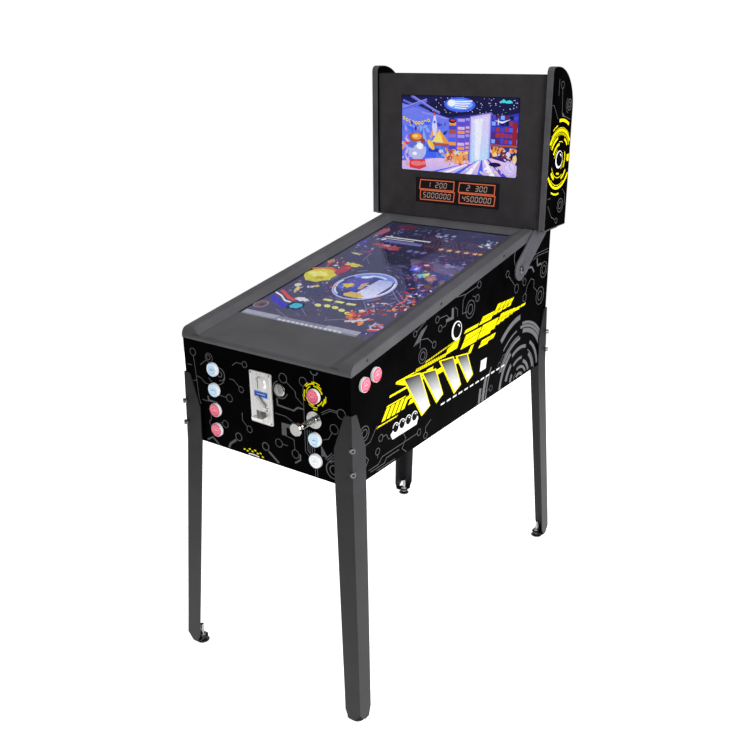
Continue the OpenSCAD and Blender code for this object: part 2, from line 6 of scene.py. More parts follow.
import bmesh
import bpy
from mathutils import Matrix, Vector


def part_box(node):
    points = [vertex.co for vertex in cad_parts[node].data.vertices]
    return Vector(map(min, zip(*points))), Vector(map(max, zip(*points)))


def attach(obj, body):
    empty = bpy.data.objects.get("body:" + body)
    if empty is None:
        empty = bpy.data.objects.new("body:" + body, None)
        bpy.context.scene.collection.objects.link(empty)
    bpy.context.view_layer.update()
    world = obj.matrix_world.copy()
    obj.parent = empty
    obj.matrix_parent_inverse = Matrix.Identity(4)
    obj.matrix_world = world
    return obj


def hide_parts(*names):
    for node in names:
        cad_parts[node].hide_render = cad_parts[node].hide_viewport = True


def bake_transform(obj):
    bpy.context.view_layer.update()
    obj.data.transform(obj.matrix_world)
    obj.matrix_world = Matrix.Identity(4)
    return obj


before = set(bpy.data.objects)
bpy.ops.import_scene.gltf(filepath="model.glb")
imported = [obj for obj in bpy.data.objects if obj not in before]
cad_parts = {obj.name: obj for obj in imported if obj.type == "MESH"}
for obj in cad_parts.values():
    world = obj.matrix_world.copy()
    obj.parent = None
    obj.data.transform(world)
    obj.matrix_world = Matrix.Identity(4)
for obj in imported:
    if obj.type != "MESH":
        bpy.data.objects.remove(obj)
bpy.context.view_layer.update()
MM = 0.001

# ---- Studio: camera, floor and soft boxes ----
# The machine is shown on a plain pale floor under large soft boxes, seen from the player's
# right shoulder. The boxes stand to the right, in front, overhead and behind.

scene = bpy.context.scene
scene.view_settings.view_transform = "Standard"
eye = Vector((1.2624, -1.8409, 1.5254))
azimuth, elevation, roll = (math.radians(a) for a in (34.94, 20.76, -0.48))
camera_data = bpy.data.cameras.new("camera")
camera_data.lens = 41.54
camera_data.sensor_width = 36
camera = bpy.data.objects.new("camera", camera_data)
tilt = Matrix.Rotation(math.pi / 2 - elevation, 4, "X") @ Matrix.Rotation(roll, 4, "Z")
camera.matrix_world = Matrix.Translation(eye) @ Matrix.Rotation(azimuth, 4, "Z") @ tilt
scene.collection.objects.link(camera)
scene.camera = camera


def soft_box(name, place, side, watts, mirrored=True, warmth=(1, 1, 1)):
    """A square soft box in metres, aimed at the middle of the machine. Some aren't mirrored in it."""
    light = bpy.data.lights.new(name, "AREA")
    light.size = side
    light.energy = watts
    light.color = warmth
    lamp = bpy.data.objects.new(name, light)
    lamp.location = place
    lamp.visible_glossy = mirrored
    lamp.visible_transmission = mirrored
    lamp.rotation_euler = (Vector(place) - Vector((0, 0, 0.9))).to_track_quat("Z", "Y").to_euler()
    scene.collection.objects.link(lamp)


soft_box("box_right", (3.2, -0.9, 2.3), 2.2, 140)
soft_box("box_front", (-1.4, -3.4, 2.2), 2.4, 16, warmth=(0.96, 0.98, 1))
soft_box("box_over", (0.2, 0.1, 3.8), 2.8, 48, mirrored=False)
soft_box("box_rear", (-1.8, 3.2, 2.2), 2.4, 60, mirrored=False)

world = bpy.data.worlds.new("studio")
scene.world = world
world.use_nodes = True
sky = world.node_tree
walls = sky.nodes["Background"]
walls.inputs["Color"].default_value = (1, 1, 1, 1)
paths = sky.nodes.new("ShaderNodeLightPath")
wall_glow = sky.nodes.new("ShaderNodeMapRange")
wall_glow.inputs["To Min"].default_value = 0.15
wall_glow.inputs["To Max"].default_value = 1.0
sky.links.new(paths.outputs["Is Camera Ray"], wall_glow.inputs["Value"])
sky.links.new(wall_glow.outputs["Result"], walls.inputs["Strength"])
NOISE_ENDS = (0.3, 0.7)       # nearly all of the noise lies between these


def mottle(tree, size, stretch=(1, 1, 1), detail=3):
    """Soft noise whose spots are about this size, drawn out along an axis where stretch is below 1."""
    place = tree.nodes.new("ShaderNodeTexCoord")
    drawn = tree.nodes.new("ShaderNodeMapping")
    drawn.inputs["Scale"].default_value = stretch
    noise = tree.nodes.new("ShaderNodeTexNoise")
    noise.inputs["Scale"].default_value = 1 / (size * MM)
    noise.inputs["Detail"].default_value = detail
    tree.links.new(place.outputs["Object"], drawn.inputs["Vector"])
    tree.links.new(drawn.outputs["Vector"], noise.inputs["Vector"])
    return noise.outputs[0]


def two_tone(tree, factor, dark, light):
    """Colour that runs from dark to light with the noise."""
    ramp = tree.nodes.new("ShaderNodeValToRGB")
    for element, colour, position in zip(ramp.color_ramp.elements, (dark, light), NOISE_ENDS):
        element.color = colour
        element.position = position
    tree.links.new(factor, ramp.inputs["Fac"])
    return ramp.outputs["Color"]


def spread(tree, factor, low, high):
    """The noise, brought into the range from low to high."""
    reach = tree.nodes.new("ShaderNodeMapRange")
    reach.inputs["From Min"].default_value, reach.inputs["From Max"].default_value = NOISE_ENDS
    reach.inputs["To Min"].default_value = low
    reach.inputs["To Max"].default_value = high
    tree.links.new(factor, reach.inputs["Value"])
    return reach.outputs["Result"]


def relief(tree, height, depth):
    """A surface that rises and falls by about this depth with the height given."""
    bump = tree.nodes.new("ShaderNodeBump")
    bump.inputs["Strength"].default_value = 0.7
    bump.inputs["Distance"].default_value = depth * MM
    tree.links.new(height, bump.inputs["Height"])
    return bump.outputs["Normal"]


def blank(name):
    """A new material, with its node tree and its shader."""
    material = bpy.data.materials.new(name)
    material.use_nodes = True
    return material, material.node_tree, material.node_tree.nodes["Principled BSDF"]


def finish(name, dark, light, drift, gloss, grain, depth, sockets=(), stretch=(1, 1, 1)):
    """A finish that drifts between two tones, with a finer grain in its gloss and in its relief."""
    material, tree, skin = blank(name)
    fine = mottle(tree, grain, stretch)
    tree.links.new(two_tone(tree, mottle(tree, drift, stretch), dark, light), skin.inputs["Base Color"])
    tree.links.new(spread(tree, fine, *gloss), skin.inputs["Roughness"])
    tree.links.new(relief(tree, fine, depth), skin.inputs["Normal"])
    for socket, value in dict(sockets).items():
        skin.inputs[socket].default_value = value
    return material


def tone(red, green, blue):
    """A colour chip given in screen values of 0 to 255, as the linear colour that a shader takes."""
    return tuple((c / 255) ** 2.2 for c in (red, green, blue)) + (1.0,)


def round_turns(steps):
    """Angles spaced evenly round a circle."""
    return [2 * math.pi * i / steps for i in range(steps)]


floor_paper = finish("floor_paper", tone(247, 247, 247), tone(250, 250, 250), 400, (0.8, 0.9), 3, 0.05,
    {"Emission Color": (1, 1, 1, 1), "Emission Strength": 0.76, "Specular IOR Level": 0.1})
floor_reach = 2.4             # metres; beyond it the walls are as bright as the floor
floor_mesh = bmesh.new()
floor_mesh.faces.new([floor_mesh.verts.new((floor_reach * math.cos(a), floor_reach * math.sin(a), -0.0005))
    for a in round_turns(96)])
floor_data = bpy.data.meshes.new("studio_floor")
floor_mesh.to_mesh(floor_data)
floor_mesh.free()
floor_data.materials.append(floor_paper)
studio_floor = bpy.data.objects.new("studio_floor", floor_data)
scene.collection.objects.link(studio_floor)

# ---- Cabinet boards ----
# Fibreboard panels glued and screwed into a box. The sides and the front carry a satin printed
# film, and the bottom, the rear and the shelf under the backbox are plain black laminate.


def dress(material, *nodes):
    """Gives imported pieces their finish."""
    for node in nodes:
        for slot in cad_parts[node].material_slots:
            slot.material = material


def ease(radius, *nodes):
    """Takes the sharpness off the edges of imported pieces, as sanding, folding or moulding does."""
    for node in nodes:
        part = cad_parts[node]
        weld = part.modifiers.new("joined", "WELD")
        weld.merge_threshold = 0.00001
        rounding = part.modifiers.new("eased", "BEVEL")
        rounding.width = radius * MM
        rounding.segments = 3
        rounding.limit_method = "ANGLE"
        rounding.angle_limit = math.radians(40)
        rounding.harden_normals = True


printed_film = finish("printed_film", tone(9, 8, 9), tone(15, 14, 15), 60, (0.36, 0.46), 1.2, 0.02,
    {"IOR": 1.04})
black_laminate = finish("black_laminate", tone(24, 24, 25), tone(32, 31, 33), 25, (0.5, 0.62), 0.9, 0.05,
    {"IOR": 1.25})
dress(printed_film, "side_panels", "front_panel")
dress(black_laminate, "rear_panel", "bottom_panel", "rear_shelf")
ease(0.8, "side_panels", "front_panel", "rear_panel", "bottom_panel", "rear_shelf")

# ---- Printed artwork on the cabinet ----
# The artwork is part of the film: grey circuit lines with ringed ends, yellow speed bars and
# broken rings. It is drawn here as thin layers of ink, and both sides carry the same drawing.

side_low, side_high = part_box("side_panels")
front_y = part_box("front_panel")[0].y
sheet_lift = 0.02             # the first ink starts this far off the film
ink_depth = 0.1
layer_step = 0.004

INK_GREY = tone(98, 98, 101)
INK_WHEEL = tone(112, 112, 115)
INK_DIM = tone(74, 74, 77)
INK_YELLOW = tone(255, 240, 10)
INK_WHITE = tone(244, 244, 244)
INK_BLACK = tone(8, 8, 8)


class Flat:
    """A flat face to work on: a corner, and the ways across it, up it and out of it."""

    def __init__(self, corner, across, up, out):
        self.corner, self.across, self.up, self.out = (Vector(v) for v in (corner, across, up, out))

    def at(self, u, v, h=0.0):
        """The point that lies u across, v up and h out."""
        return self.corner + (self.across * u + self.up * v + self.out * h) * MM


def patch(*points):
    """A filled outline."""
    return [tuple(p) for p in points], [list(range(len(points)))]


def block(left, low, right, high, lean=0.0):
    """A bar whose upper edge is pushed sideways by lean times its height."""
    push = lean * (high - low)
    return patch((left, low), (right, low), (right + push, high), (left + push, high))


def ring(u, v, inner, outer, start=0.0, stop=360.0):
    """A ring, or the part of it between two angles."""
    steps = max(4, round(abs(stop - start) / 360 * (20 + outer)))
    whole = abs(stop - start) >= 359.9
    count = steps if whole else steps + 1
    angles = [math.radians(start + (stop - start) * i / steps) for i in range(count)]
    points = [(u + r * math.cos(a), v + r * math.sin(a)) for a in angles for r in (inner, outer)]
    cells = []
    for i in range(steps):
        j = (i + 1) % count
        cells.append([2 * i, 2 * i + 1, 2 * j + 1, 2 * j])
    return points, cells


def disc(u, v, ru, rv=None, turn=0.0, steps=26):
    """A filled circle or ellipse."""
    rv = ru if rv is None else rv
    c, s = math.cos(math.radians(turn)), math.sin(math.radians(turn))
    points = []
    for a in round_turns(steps):
        x, y = ru * math.cos(a), rv * math.sin(a)
        points.append((u + x * c - y * s, v + x * s + y * c))
    return patch(*points)


def stroke(width, *points):
    """A line of even width through the points, with mitred corners."""
    rail = []
    for i, p in enumerate(points):
        before = Vector(points[max(i - 1, 0)])
        after = Vector(points[min(i + 1, len(points) - 1)])
        here = Vector(p)
        into = (here - before).normalized() if i else (after - here).normalized()
        away = (after - here).normalized() if i < len(points) - 1 else into
        normal = Vector((-(into + away).y, (into + away).x)).normalized()
        reach = width / 2 / max(0.4, normal.dot(Vector((-into.y, into.x))))
        rail += [tuple(here - normal * reach), tuple(here + normal * reach)]
    return rail, [[2 * i, 2 * i + 2, 2 * i + 3, 2 * i + 1] for i in range(len(points) - 1)]


def trace(points, start=0.0, stop=0.0, width=1.5):
    """A circuit line with a ringed pad of the radius given at either end."""
    shapes = [stroke(width, *points)]
    for pad, end, beside in ((start, points[0], points[1]), (stop, points[-1], points[-2])):
        if pad:
            away = (Vector(end) - Vector(beside)).normalized() * pad
            shapes.append(ring(end[0] + away.x, end[1] + away.y, pad - width, pad))
    return shapes


def inked(colour, *shapes):
    """Gives shapes one colour."""
    return [(shape, colour) for shape in shapes]


def finished(name, mesh, material, body, smooth=False):
    """Turns a worked mesh into a piece with its finish, riding on its body."""
    bmesh.ops.recalc_face_normals(mesh, faces=mesh.faces)
    data = bpy.data.meshes.new(name)
    mesh.to_mesh(data)
    mesh.free()
    if smooth:
        data.shade_smooth()
        data.set_sharp_from_angle(angle=math.radians(38))
    data.materials.append(material)
    made = bpy.data.objects.new(name, data)
    scene.collection.objects.link(made)
    if body:
        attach(made, body)
    return made


def printed(name, flat, art, material, body, lift=sheet_lift, step=layer_step):
    """Lays coloured shapes on a flat, each a hair above the last. A pair of colours fades upwards."""
    mesh = bmesh.new()
    ink = mesh.loops.layers.float_color.new("ink")
    for order, ((points, cells), colour) in enumerate(art):
        top = lift + ink_depth + step * order
        low = [mesh.verts.new(flat.at(u, v, lift)) for u, v in points]
        high = [mesh.verts.new(flat.at(u, v, top)) for u, v in points]
        sides = {(a, b) for cell in cells for a, b in zip(cell, cell[1:] + cell[:1])}
        faces = []
        for cell in cells:
            faces.append((mesh.faces.new([high[i] for i in cell]), cell))
            faces.append((mesh.faces.new([low[i] for i in reversed(cell)]), cell[::-1]))
        for a, b in sorted(sides):
            if (b, a) not in sides:
                faces.append((mesh.faces.new([low[a], low[b], high[b], high[a]]), [a, b, b, a]))
        bottom = min(v for u, v in points)
        reach = max(v for u, v in points) - bottom
        fade = len(colour) == 2
        for face, cell in faces:
            for loop, i in zip(face.loops, cell):
                share = (points[i][1] - bottom) / reach
                loop[ink] = Vector(colour[0]).lerp(Vector(colour[1]), share) if fade else colour
    return finished(name, mesh, material, body)


def drawn_ink(tree, cover):
    """The colours of the drawing, dulled here and there by a cover."""
    drawn = tree.nodes.new("ShaderNodeVertexColor")
    drawn.layer_name = "ink"
    dulled = tree.nodes.new("ShaderNodeMix")
    dulled.data_type = "RGBA"
    dulled.blend_type = "MULTIPLY"
    dulled.inputs["Factor"].default_value = 1.0
    tree.links.new(drawn.outputs["Color"], dulled.inputs["A"])
    tree.links.new(cover, dulled.inputs["B"])
    return dulled.outputs["Result"]


def ink_finish(name, gloss=(0.34, 0.44)):
    """Printed ink: its colour comes with the drawing, broken up a little by the film under it."""
    material, tree, skin = blank(name)
    speckle = two_tone(tree, mottle(tree, 2.5), (0.84, 0.84, 0.84, 1), (1, 1, 1, 1))
    tree.links.new(drawn_ink(tree, speckle), skin.inputs["Base Color"])
    fine = mottle(tree, 1.2)
    tree.links.new(spread(tree, fine, *gloss), skin.inputs["Roughness"])
    tree.links.new(relief(tree, fine, 0.02), skin.inputs["Normal"])
    skin.inputs["IOR"].default_value = 1.08
    return material


print_ink = ink_finish("print_ink")

# Circuit lines on the sides: the points run back from the front edge and up from the floor
side_traces = [([(261, 908), (300, 924)], 8, 0), ([(275, 862), (277, 884), (309, 879), (333, 860)], 0, 9),
    ([(362, 914), (397, 914), (410, 903)], 9, 0), ([(376, 888), (392, 888), (400, 899)], 9, 0),
    ([(437, 925), (449, 916), (451, 897)], 0, 0),
    ([(500, 897), (475, 898), (477, 931), (491, 945), (550, 953)], 0, 10), ([(444, 948), (491, 945)], 0, 0),
    ([(527, 932), (543, 925)], 0, 10), ([(728, 941), (771, 903)], 10, 13),
    ([(820, 908), (806, 916), (790, 921)], 11, 0),
    ([(841, 866), (850, 886), (872, 903), (894, 895), (895, 872), (922, 853)], 12, 0),
    ([(859, 968), (984, 971)], 0, 0), ([(880, 955), (905, 962), (984, 962)], 0, 0),
    ([(47, 700), (70, 703), (95, 731)], 0, 0), ([(120, 696), (134, 696), (142, 681), (156, 681)], 9, 0),
    ([(98, 658), (98, 650)], 9, 0), ([(49, 676), (62, 661), (49, 645)], 0, 0),
    ([(62, 634), (100, 634), (116, 647), (266, 648)], 0, 9),
    ([(69, 627), (125, 627), (134, 637), (187, 637)], 0, 0), ([(94, 620), (169, 620)], 0, 0),
    ([(202, 676), (216, 656), (200, 634), (219, 618)], 0, 0), ([(305, 637), (305, 650), (330, 662)], 9, 0),
    ([(640, 640), (600, 640), (588, 628)], 9, 0), ([(700, 700), (716, 716), (742, 716)], 8, 0)]
side_lines = []
for points, start, stop in side_traces:
    side_lines += trace(points, start, stop)
for u, v, r in [(288, 841, 19), (516, 900, 24), (941, 837, 27), (958, 912, 24), (48, 731, 18)]:
    side_lines += [ring(u, v, r - 1.7, r), ring(u, v, r * 0.48, r * 0.48 + 1.7)]
for i in range(4):
    side_lines.append(stroke(2.4, (248 + 7 * i, 876 + i), (284 + 7 * i, 906 + 2 * i)))
side_lines += [block(394, 896, 431, 904), block(421, 904, 431, 925),
    stroke(6, (831, 925), (852, 940), (874, 936), (890, 919)),
    stroke(6, (906, 956), (911, 934), (938, 934)), ring(791, 985, 33, 35, 150, 262)]

# The broken wheel of grey arcs low down at the rear: inner radius, outer radius, first and last angle
wheel = (825, 600)
wheel_rise = 17               # the arcs begin this far above the wheel's middle, clear of the edge
wheel_arcs = [(238, 250, 166, 176), (216, 230, 158, 175.8), (204, 209, 150, 175.3), (196, 211, 93, 128),
    (176, 184, 40, 88), (166, 174, 25, 92), (166, 171, 100, 130), (150, 163, 18, 86), (146, 149, 95, 152),
    (134, 143, 92, 150), (120, 130, 12, 60), (118, 130, 120, 172), (104, 114, 70, 118), (100, 103, 10, 60),
    (88, 98, 15, 52), (84, 97, 128, 160), (72, 80, 80, 122), (60, 70, 20, 70), (56, 66, 140, 162),
    (44, 52, 30, 110), (40, 42, 120, 150), (24, 33, 45, 130)]
side_wheel = [ring(*wheel, inner, outer, max(first, math.degrees(math.asin(wheel_rise / inner))), last)
    for inner, outer, first, last in wheel_arcs]
wheel_specks = [ring(*wheel, 156, 158.5, a, a + 2.4) for a in range(24, 84, 6)]

# Yellow speed bars, from the tail at the front to the point at the rear
side_bars = [block(94 + 4 * i, 725 + 2 * i, 176 + 4 * i, 726.2 + 2 * i, 1.2) for i in range(2)]
side_bars += [block(114 + 20 * i, 734, 128 + 20 * i, 760, 0.8) for i in range(5)]
side_bars += [block(134, 762, 212, 765, 0.8), block(225, 737, 252, 748, 0.8),
    block(222, 752, 262, 765, 0.8), block(145, 782, 300, 787, 0.8),
    patch((170, 808), (262, 806), (312, 790), (206, 793)), block(172, 809, 250, 812, 0.8),
    block(312, 772, 470, 786, 0.8), block(300, 790, 330, 800, 0.8),
    patch((398, 812), (452, 814), (466, 838), (436, 832), (404, 824))]
side_bars += [block(254 + 9 * i, 808.5, 259 + 9 * i, 817, 0.8) for i in range(16)]
side_bars += [block(300 + 8 * i, 819 + 0.75 * i, 303 + 8 * i, 824 + 0.75 * i, 0.8) for i in range(19)]
side_bars += [block(486, 842, 556, 850, 1.2), block(566, 844, 632, 862, 1.2),
    block(470, 804, 552, 836, 0.9), block(560, 806, 628, 838, 0.9), block(636, 812, 654, 838, 0.9),
    block(566, 780, 616, 797, 1.2), block(624, 786, 650, 798, 1.2), block(508, 780, 524, 799, 0.9),
    block(764, 830, 802, 838, 1.2), block(810, 833, 838, 839, 1.2)]
side_bars += [block(644 + 27 * i, 851 + i, 664 + 27 * i, 876 - i, 1.1) for i in range(4)]
side_bars += [block(664 + 26 * i, 818 + 3 * i, 683 + 26 * i, 844 - i, 1.1) for i in range(4)]
side_cuts = [stroke(1.6, (574, 788), (640, 791)), stroke(1.6, (478, 820), (600, 826)),
    stroke(1.4, (566, 852), (650, 855))]
side_cuts += [stroke(1.6, (648 + 27 * i, 858), (676 + 27 * i, 864)) for i in range(4)]
side_cuts += [stroke(1.6, (666 + 26 * i, 828), (692 + 26 * i, 833)) for i in range(4)]
side_cuts += [stroke(1.4, (484 + 12 * i, 806), (492 + 12 * i, 815)) for i in range(12)]

# Leaning silver blades in the middle, each on a yellow rim, and small white pieces round them
blades = []
for i in range(4):
    left, high, low = 208 + 82 * i, (808, 796, 802, 790)[i], (692, 702, 698, 706)[i]
    thick, slip = (66, 56, 60, 50)[i], 0.62 * (high - low)
    outline = [(left, high), (left + thick, high - 8), (left + slip + thick * 0.62, low + 12),
        (left + slip + 8, low)]
    rim = [(left - 9, high + 4), (left + thick + 3, high - 5), (left + slip + thick * 0.62 + 4, low + 9),
        (left + slip + 5, low - 5)]
    blades += inked(INK_YELLOW, patch(*rim)) + [(patch(*outline), (INK_WHITE, tone(18, 18, 20)))]
side_white = [block(580, 710, 612, 740, 0.15)]
side_white += [block(376 + 30 * i, 683, 394 + 30 * i, 687, 0.5) for i in range(12)]
side_white.append(patch((158, 674), (262, 674), (270, 690), (262, 699), (166, 699), (150, 688)))
side_white += [ring(172 + 27 * i, 699, 11, 13.2, 10, 170) for i in range(4)]
side_white.append(disc(448, 861, 25))
balls = [disc(172 + 27 * i, 699, 11.2) for i in range(4)] + [disc(450, 862.5, 20.5)]
ball_shine = [ring(172 + 27 * i, 699, 5.6, 7.8, 30, 85) for i in range(4)]
ball_shine += [ring(450, 862.5, 11.5, 15, 24, 80)]

side_art = inked(INK_DIM, *wheel_specks) + inked(INK_GREY, *side_lines) + inked(INK_WHEEL, *side_wheel)
side_art += inked(INK_YELLOW, *side_bars)
side_art += inked(INK_BLACK, *side_cuts) + blades + inked(INK_WHITE, *side_white)
side_art += inked(INK_BLACK, *balls) + inked(INK_WHITE, *ball_shine)
for name, side_x, out in (("print_right", side_high.x, 1), ("print_left", side_low.x, -1)):
    panel = Flat((side_x, front_y, 0), (0, 1, 0), (0, 0, 1), (out, 0, 0))
    printed(name, panel, side_art, print_ink, "root")

# The front: the points run from the middle of the panel
front_traces = [([(-219, 835), (-215, 787), (-211, 727), (-206, 712)], 10, 0),
    ([(-214, 785), (-200, 783), (-186, 772), (-174, 772)], 0, 0), ([(-243, 810), (-226, 810)], 0, 0),
    ([(-228, 770), (-214, 773)], 0, 0), ([(-176, 833), (-197, 817)], 12, 0),
    ([(-118, 750), (-140, 750)], 10, 0), ([(-200, 726), (-180, 726)], 0, 0),
    ([(-172, 703), (-175, 680), (-182, 670), (-178, 662)], 0, 0), ([(-138, 678), (-146, 678)], 10, 0),
    ([(52, 672), (68, 672)], 11, 0), ([(89, 668), (87, 692), (66, 696)], 11, 0),
    ([(34, 746), (66, 745), (84, 737)], 0, 0), ([(72, 830), (97, 812), (98, 800), (117, 785)], 12, 0),
    ([(120, 830), (120, 671), (134, 660)], 11, 0), ([(150, 860), (150, 844)], 0, 0),
    ([(212, 788), (193, 788), (170, 774)], 12, 0), ([(213, 792), (191, 792), (168, 778)], 0, 0),
    ([(197, 737), (187, 720), (170, 713)], 12, 0), ([(147, 640), (147, 617)], 0, 0),
    ([(153, 640), (153, 617)], 0, 0), ([(-104, 800), (-90, 800), (-74, 786)], 0, 8),
    ([(-60, 846), (-78, 846), (-92, 836)], 8, 0), ([(-56, 690), (-70, 702), (-70, 722)], 9, 0)]
front_lines = []
for points, start, stop in front_traces:
    front_lines += trace(points, start, stop)
for i in range(4):
    x = 127 + 6.5 * i
    front_lines.append(stroke(1.8, (x, 727), (x, 676 - 3 * i), (x + 6, 670 - 3 * i)))
    front_lines.append(stroke(2.0, (176 + 5 * i, 668 - 2 * i), (196 + 5 * i, 688 - 2 * i)))
front_lines += [ring(-86, 655, 8.8, 11), ring(-1, 652, 8.8, 11),
    stroke(6, (-95, 645), (-115, 630), (-121, 618)), stroke(6, (8, 642), (38, 620)),
    stroke(5, (-180, 740), (-178, 729), (-148, 728)), block(52, 696, 66, 727), block(66, 718, 84, 727),
    stroke(4, (42, 784), (43, 768), (90, 765), (103, 775), (119, 775)),
    patch((165, 700), (184, 673), (166, 673)), ring(200, 647, 20, 22.5, 80, 280),
    ring(200, 647, 10, 12.5, 80, 280), ring(152, 873, 9, 11.2, 190, 350),
    ring(53, 807, 19.5, 21.8, 110, 345), ring(-135, 805, 15, 17, -100, 120), ring(-135, 805, 6, 8),
    ring(-148, 806, 29, 31, 215, 352), stroke(4, (-193, 621), (-174, 632), (-155, 619)),
    stroke(4, (88, 634), (104, 646), (104, 660)), ring(-168, 841, 5, 6.5)]
burst = [ring(151, 814, r, r + w, a, a + reach)
    for r, w, a, reach in [(21.5, 3.2, 20, 74), (21.5, 2.4, 118, 58), (21.5, 3.4, 200, 66),
    (21.5, 2.6, 290, 48), (26.5, 2.4, 44, 30), (26.5, 3.4, 88, 54), (26.5, 3, 160, 36),
    (26.5, 2.2, 236, 50), (26.5, 3.6, 318, 40), (31, 2, 60, 42), (31, 2.4, 122, 22), (31, 1.8, 184, 28),
    (31, 2.6, 262, 20), (31, 2, 340, 30)]]
low_arc = [ring(-41, 556, 70 + 5 * (i % 2), 73.5 + 5 * (i % 2), 64 + 6.5 * i, 68.6 + 6.5 * i)
    for i in range(8)]
front_flat = Flat((0, front_y, 0), (1, 0, 0), (0, 0, 1), (0, -1, 0))
front_art = inked(INK_GREY, *front_lines) + inked(INK_YELLOW, *burst, *low_arc)
front_art += inked(INK_WHITE, ring(-41, 556, 63, 66, 74, 104))
printed("print_front", front_flat, front_art, print_ink, "root")

# ---- Side rails, front apron and rear trim ----
# Shaped wooden mouldings wrapped in charcoal vinyl with a fine leather grain. They are screwed on
# from inside, and a short row of plugged screws shows along each rail.

rail_wrap = finish("rail_wrap", tone(74, 74, 77), tone(84, 84, 87), 90, (0.42, 0.56), 0.7, 0.16,
    {"IOR": 1.35})
dress(rail_wrap, "side_rails", "front_apron", "rear_trim")
ease(0.9, "side_rails", "front_apron", "rear_trim")


def turned(mesh, flat, u, v, profile, steps=24):
    """A turned shape about the flat's outward way. The profile gives radius and height along it."""
    rings = []
    for radius, height in profile:
        angles = round_turns(steps if radius else 1)
        rings.append([mesh.verts.new(flat.at(u + radius * math.cos(a), v + radius * math.sin(a), height))
            for a in angles])
    for low, high in zip(rings, rings[1:]):
        for i in range(steps):
            j = (i + 1) % steps
            corners = [low[i % len(low)], low[j % len(low)], high[j % len(high)], high[i % len(high)]]
            mesh.faces.new(list(dict.fromkeys(corners)))


slope = math.radians(9.5)
up_slope = (0, math.cos(slope), math.sin(slope))
off_slope = (0, -math.sin(slope), math.cos(slope))
lip_z = 890                   # height of the glass plane above the front face
black_plastic = finish("black_plastic", tone(20, 20, 21), tone(30, 30, 31), 12, (0.35, 0.5), 0.6, 0.04)
rail_plugs = bmesh.new()
rail_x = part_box("side_rails")[1].x
for side in (-1, 1):
    rail_flat = Flat((side * rail_x, front_y, lip_z * MM), up_slope, off_slope, (side, 0, 0))
    for along in (60, 372, 700):
        turned(rail_plugs, rail_flat, along, -2, [(0, -1), (4, -1), (4, 0.3), (3, 0.8), (0, 0.9)])
finished("rail_plugs", rail_plugs, black_plastic, "root", smooth=True)

# ---- Playfield display ----
# A large flat panel lies face up in the cabinet in place of a playfield. Its picture is a night
# blue table with a glass globe, ribbons, lamps and stars, and it lights itself.

display_case = finish("display_case", tone(12, 12, 14), tone(18, 18, 20), 30, (0.25, 0.35), 1.0, 0.02)
dress(display_case, "playfield_display", "backbox_display", "score_display")


def lit_picture(name, glow, deep, spot):
    """A lit screen: it glows in the drawing's own colours, a little uneven as a backlight is."""
    material, tree, skin = blank(name)
    backlight = two_tone(tree, mottle(tree, spot, detail=6), (deep, deep, deep * 1.05, 1), (1, 1, 1, 1))
    tree.links.new(drawn_ink(tree, backlight), skin.inputs["Emission Color"])
    skin.inputs["Emission Strength"].default_value = glow
    skin.inputs["Base Color"].default_value = (0.01, 0.01, 0.012, 1)
    skin.inputs["IOR"].default_value = 1.15
    tree.links.new(spread(tree, mottle(tree, 1.5), 0.3, 0.4), skin.inputs["Roughness"])
    return material


def blob(u, v, ru, rv, wobble, dice, points=16):
    """A splash of light with an uneven edge."""
    outline = []
    for a in round_turns(points):
        r = 1 + dice.uniform(-wobble, wobble)
        outline.append((u + ru * r * math.cos(a), v + rv * r * math.sin(a)))
    return patch(*outline)


def star(u, v, r):
    """A five pointed star."""
    return patch(*[(u + s * math.sin(math.pi * i / 5), v + s * math.cos(math.pi * i / 5)) for i in range(10)
        for s in [r if i % 2 == 0 else r * 0.45]])


def scatter(dice, count, left, low, right, high, small, large, colours):
    """Small shards of light strewn over a part of a picture."""
    shards = []
    for _ in range(count):
        u, v, r = dice.uniform(left, right), dice.uniform(low, high), dice.uniform(small, large)
        turn = dice.uniform(0, math.pi)
        points = [(u + r * k * math.cos(turn + a), v + r * k * math.sin(turn + a))
            for a, k in ((0, 1.6), (1.7, 0.7), (3.2, 1.3), (4.7, 0.6))]
        shards.append((patch(*points), dice.choice(colours)))
    return shards


def swirl(dice, count, u, v, near, far, colours):
    """Short arcs of light strewn round a point of a picture."""
    arcs = []
    for _ in range(count):
        r, a = dice.uniform(near, far), dice.uniform(0, 360)
        arcs.append((ring(u, v, r, r + dice.uniform(1, 2.6), a, a + dice.uniform(4, 15)),
            dice.choice(colours)))
    return arcs


dice = random.Random(7)
field_half, field_low, field_high = 196.4, 142.1, 840.2
cool = [tone(120, 122, 190), tone(84, 84, 150), tone(160, 160, 205), tone(70, 74, 130)]
hot = [tone(214, 96, 84), tone(230, 150, 90), tone(226, 206, 210), tone(180, 60, 92)]
# Night blue ground, paler towards the near end, with darker drifts across it. Its greyed, milky blue is
# partly the picture's own and partly a painted reflection of the studio in the glass
field_art = [(block(-field_half, field_low, field_half, field_high), (tone(86, 84, 112), tone(58, 60, 88)))]
# A lighter zone on the left, up to a diagonal edge: a painted reflection of the studio in the glass
field_art += inked(tone(76, 76, 106),
    patch((-field_half, 752), (20, 492), (60, 440), (-60, 300), (-field_half, 300)))
field_art += inked(tone(48, 48, 72),
    patch((-190, 838), (-20, 838), (60, 700), (40, 560), (-20, 540), (-150, 700)))
field_art += inked(tone(66, 66, 98), patch((40, 838), (190, 838), (190, 560), (110, 600), (60, 720)))
field_art += inked(tone(50, 50, 78), patch((30, 540), (190, 330), (190, 470), (70, 600)))
# Two pale lines along that diagonal edge: a painted streak of reflection in the glass
field_art += inked(tone(100, 100, 118), stroke(1.4, (-field_half + 2, 752), (28, 484)),
    stroke(1, (-188, 752), (33, 486)))
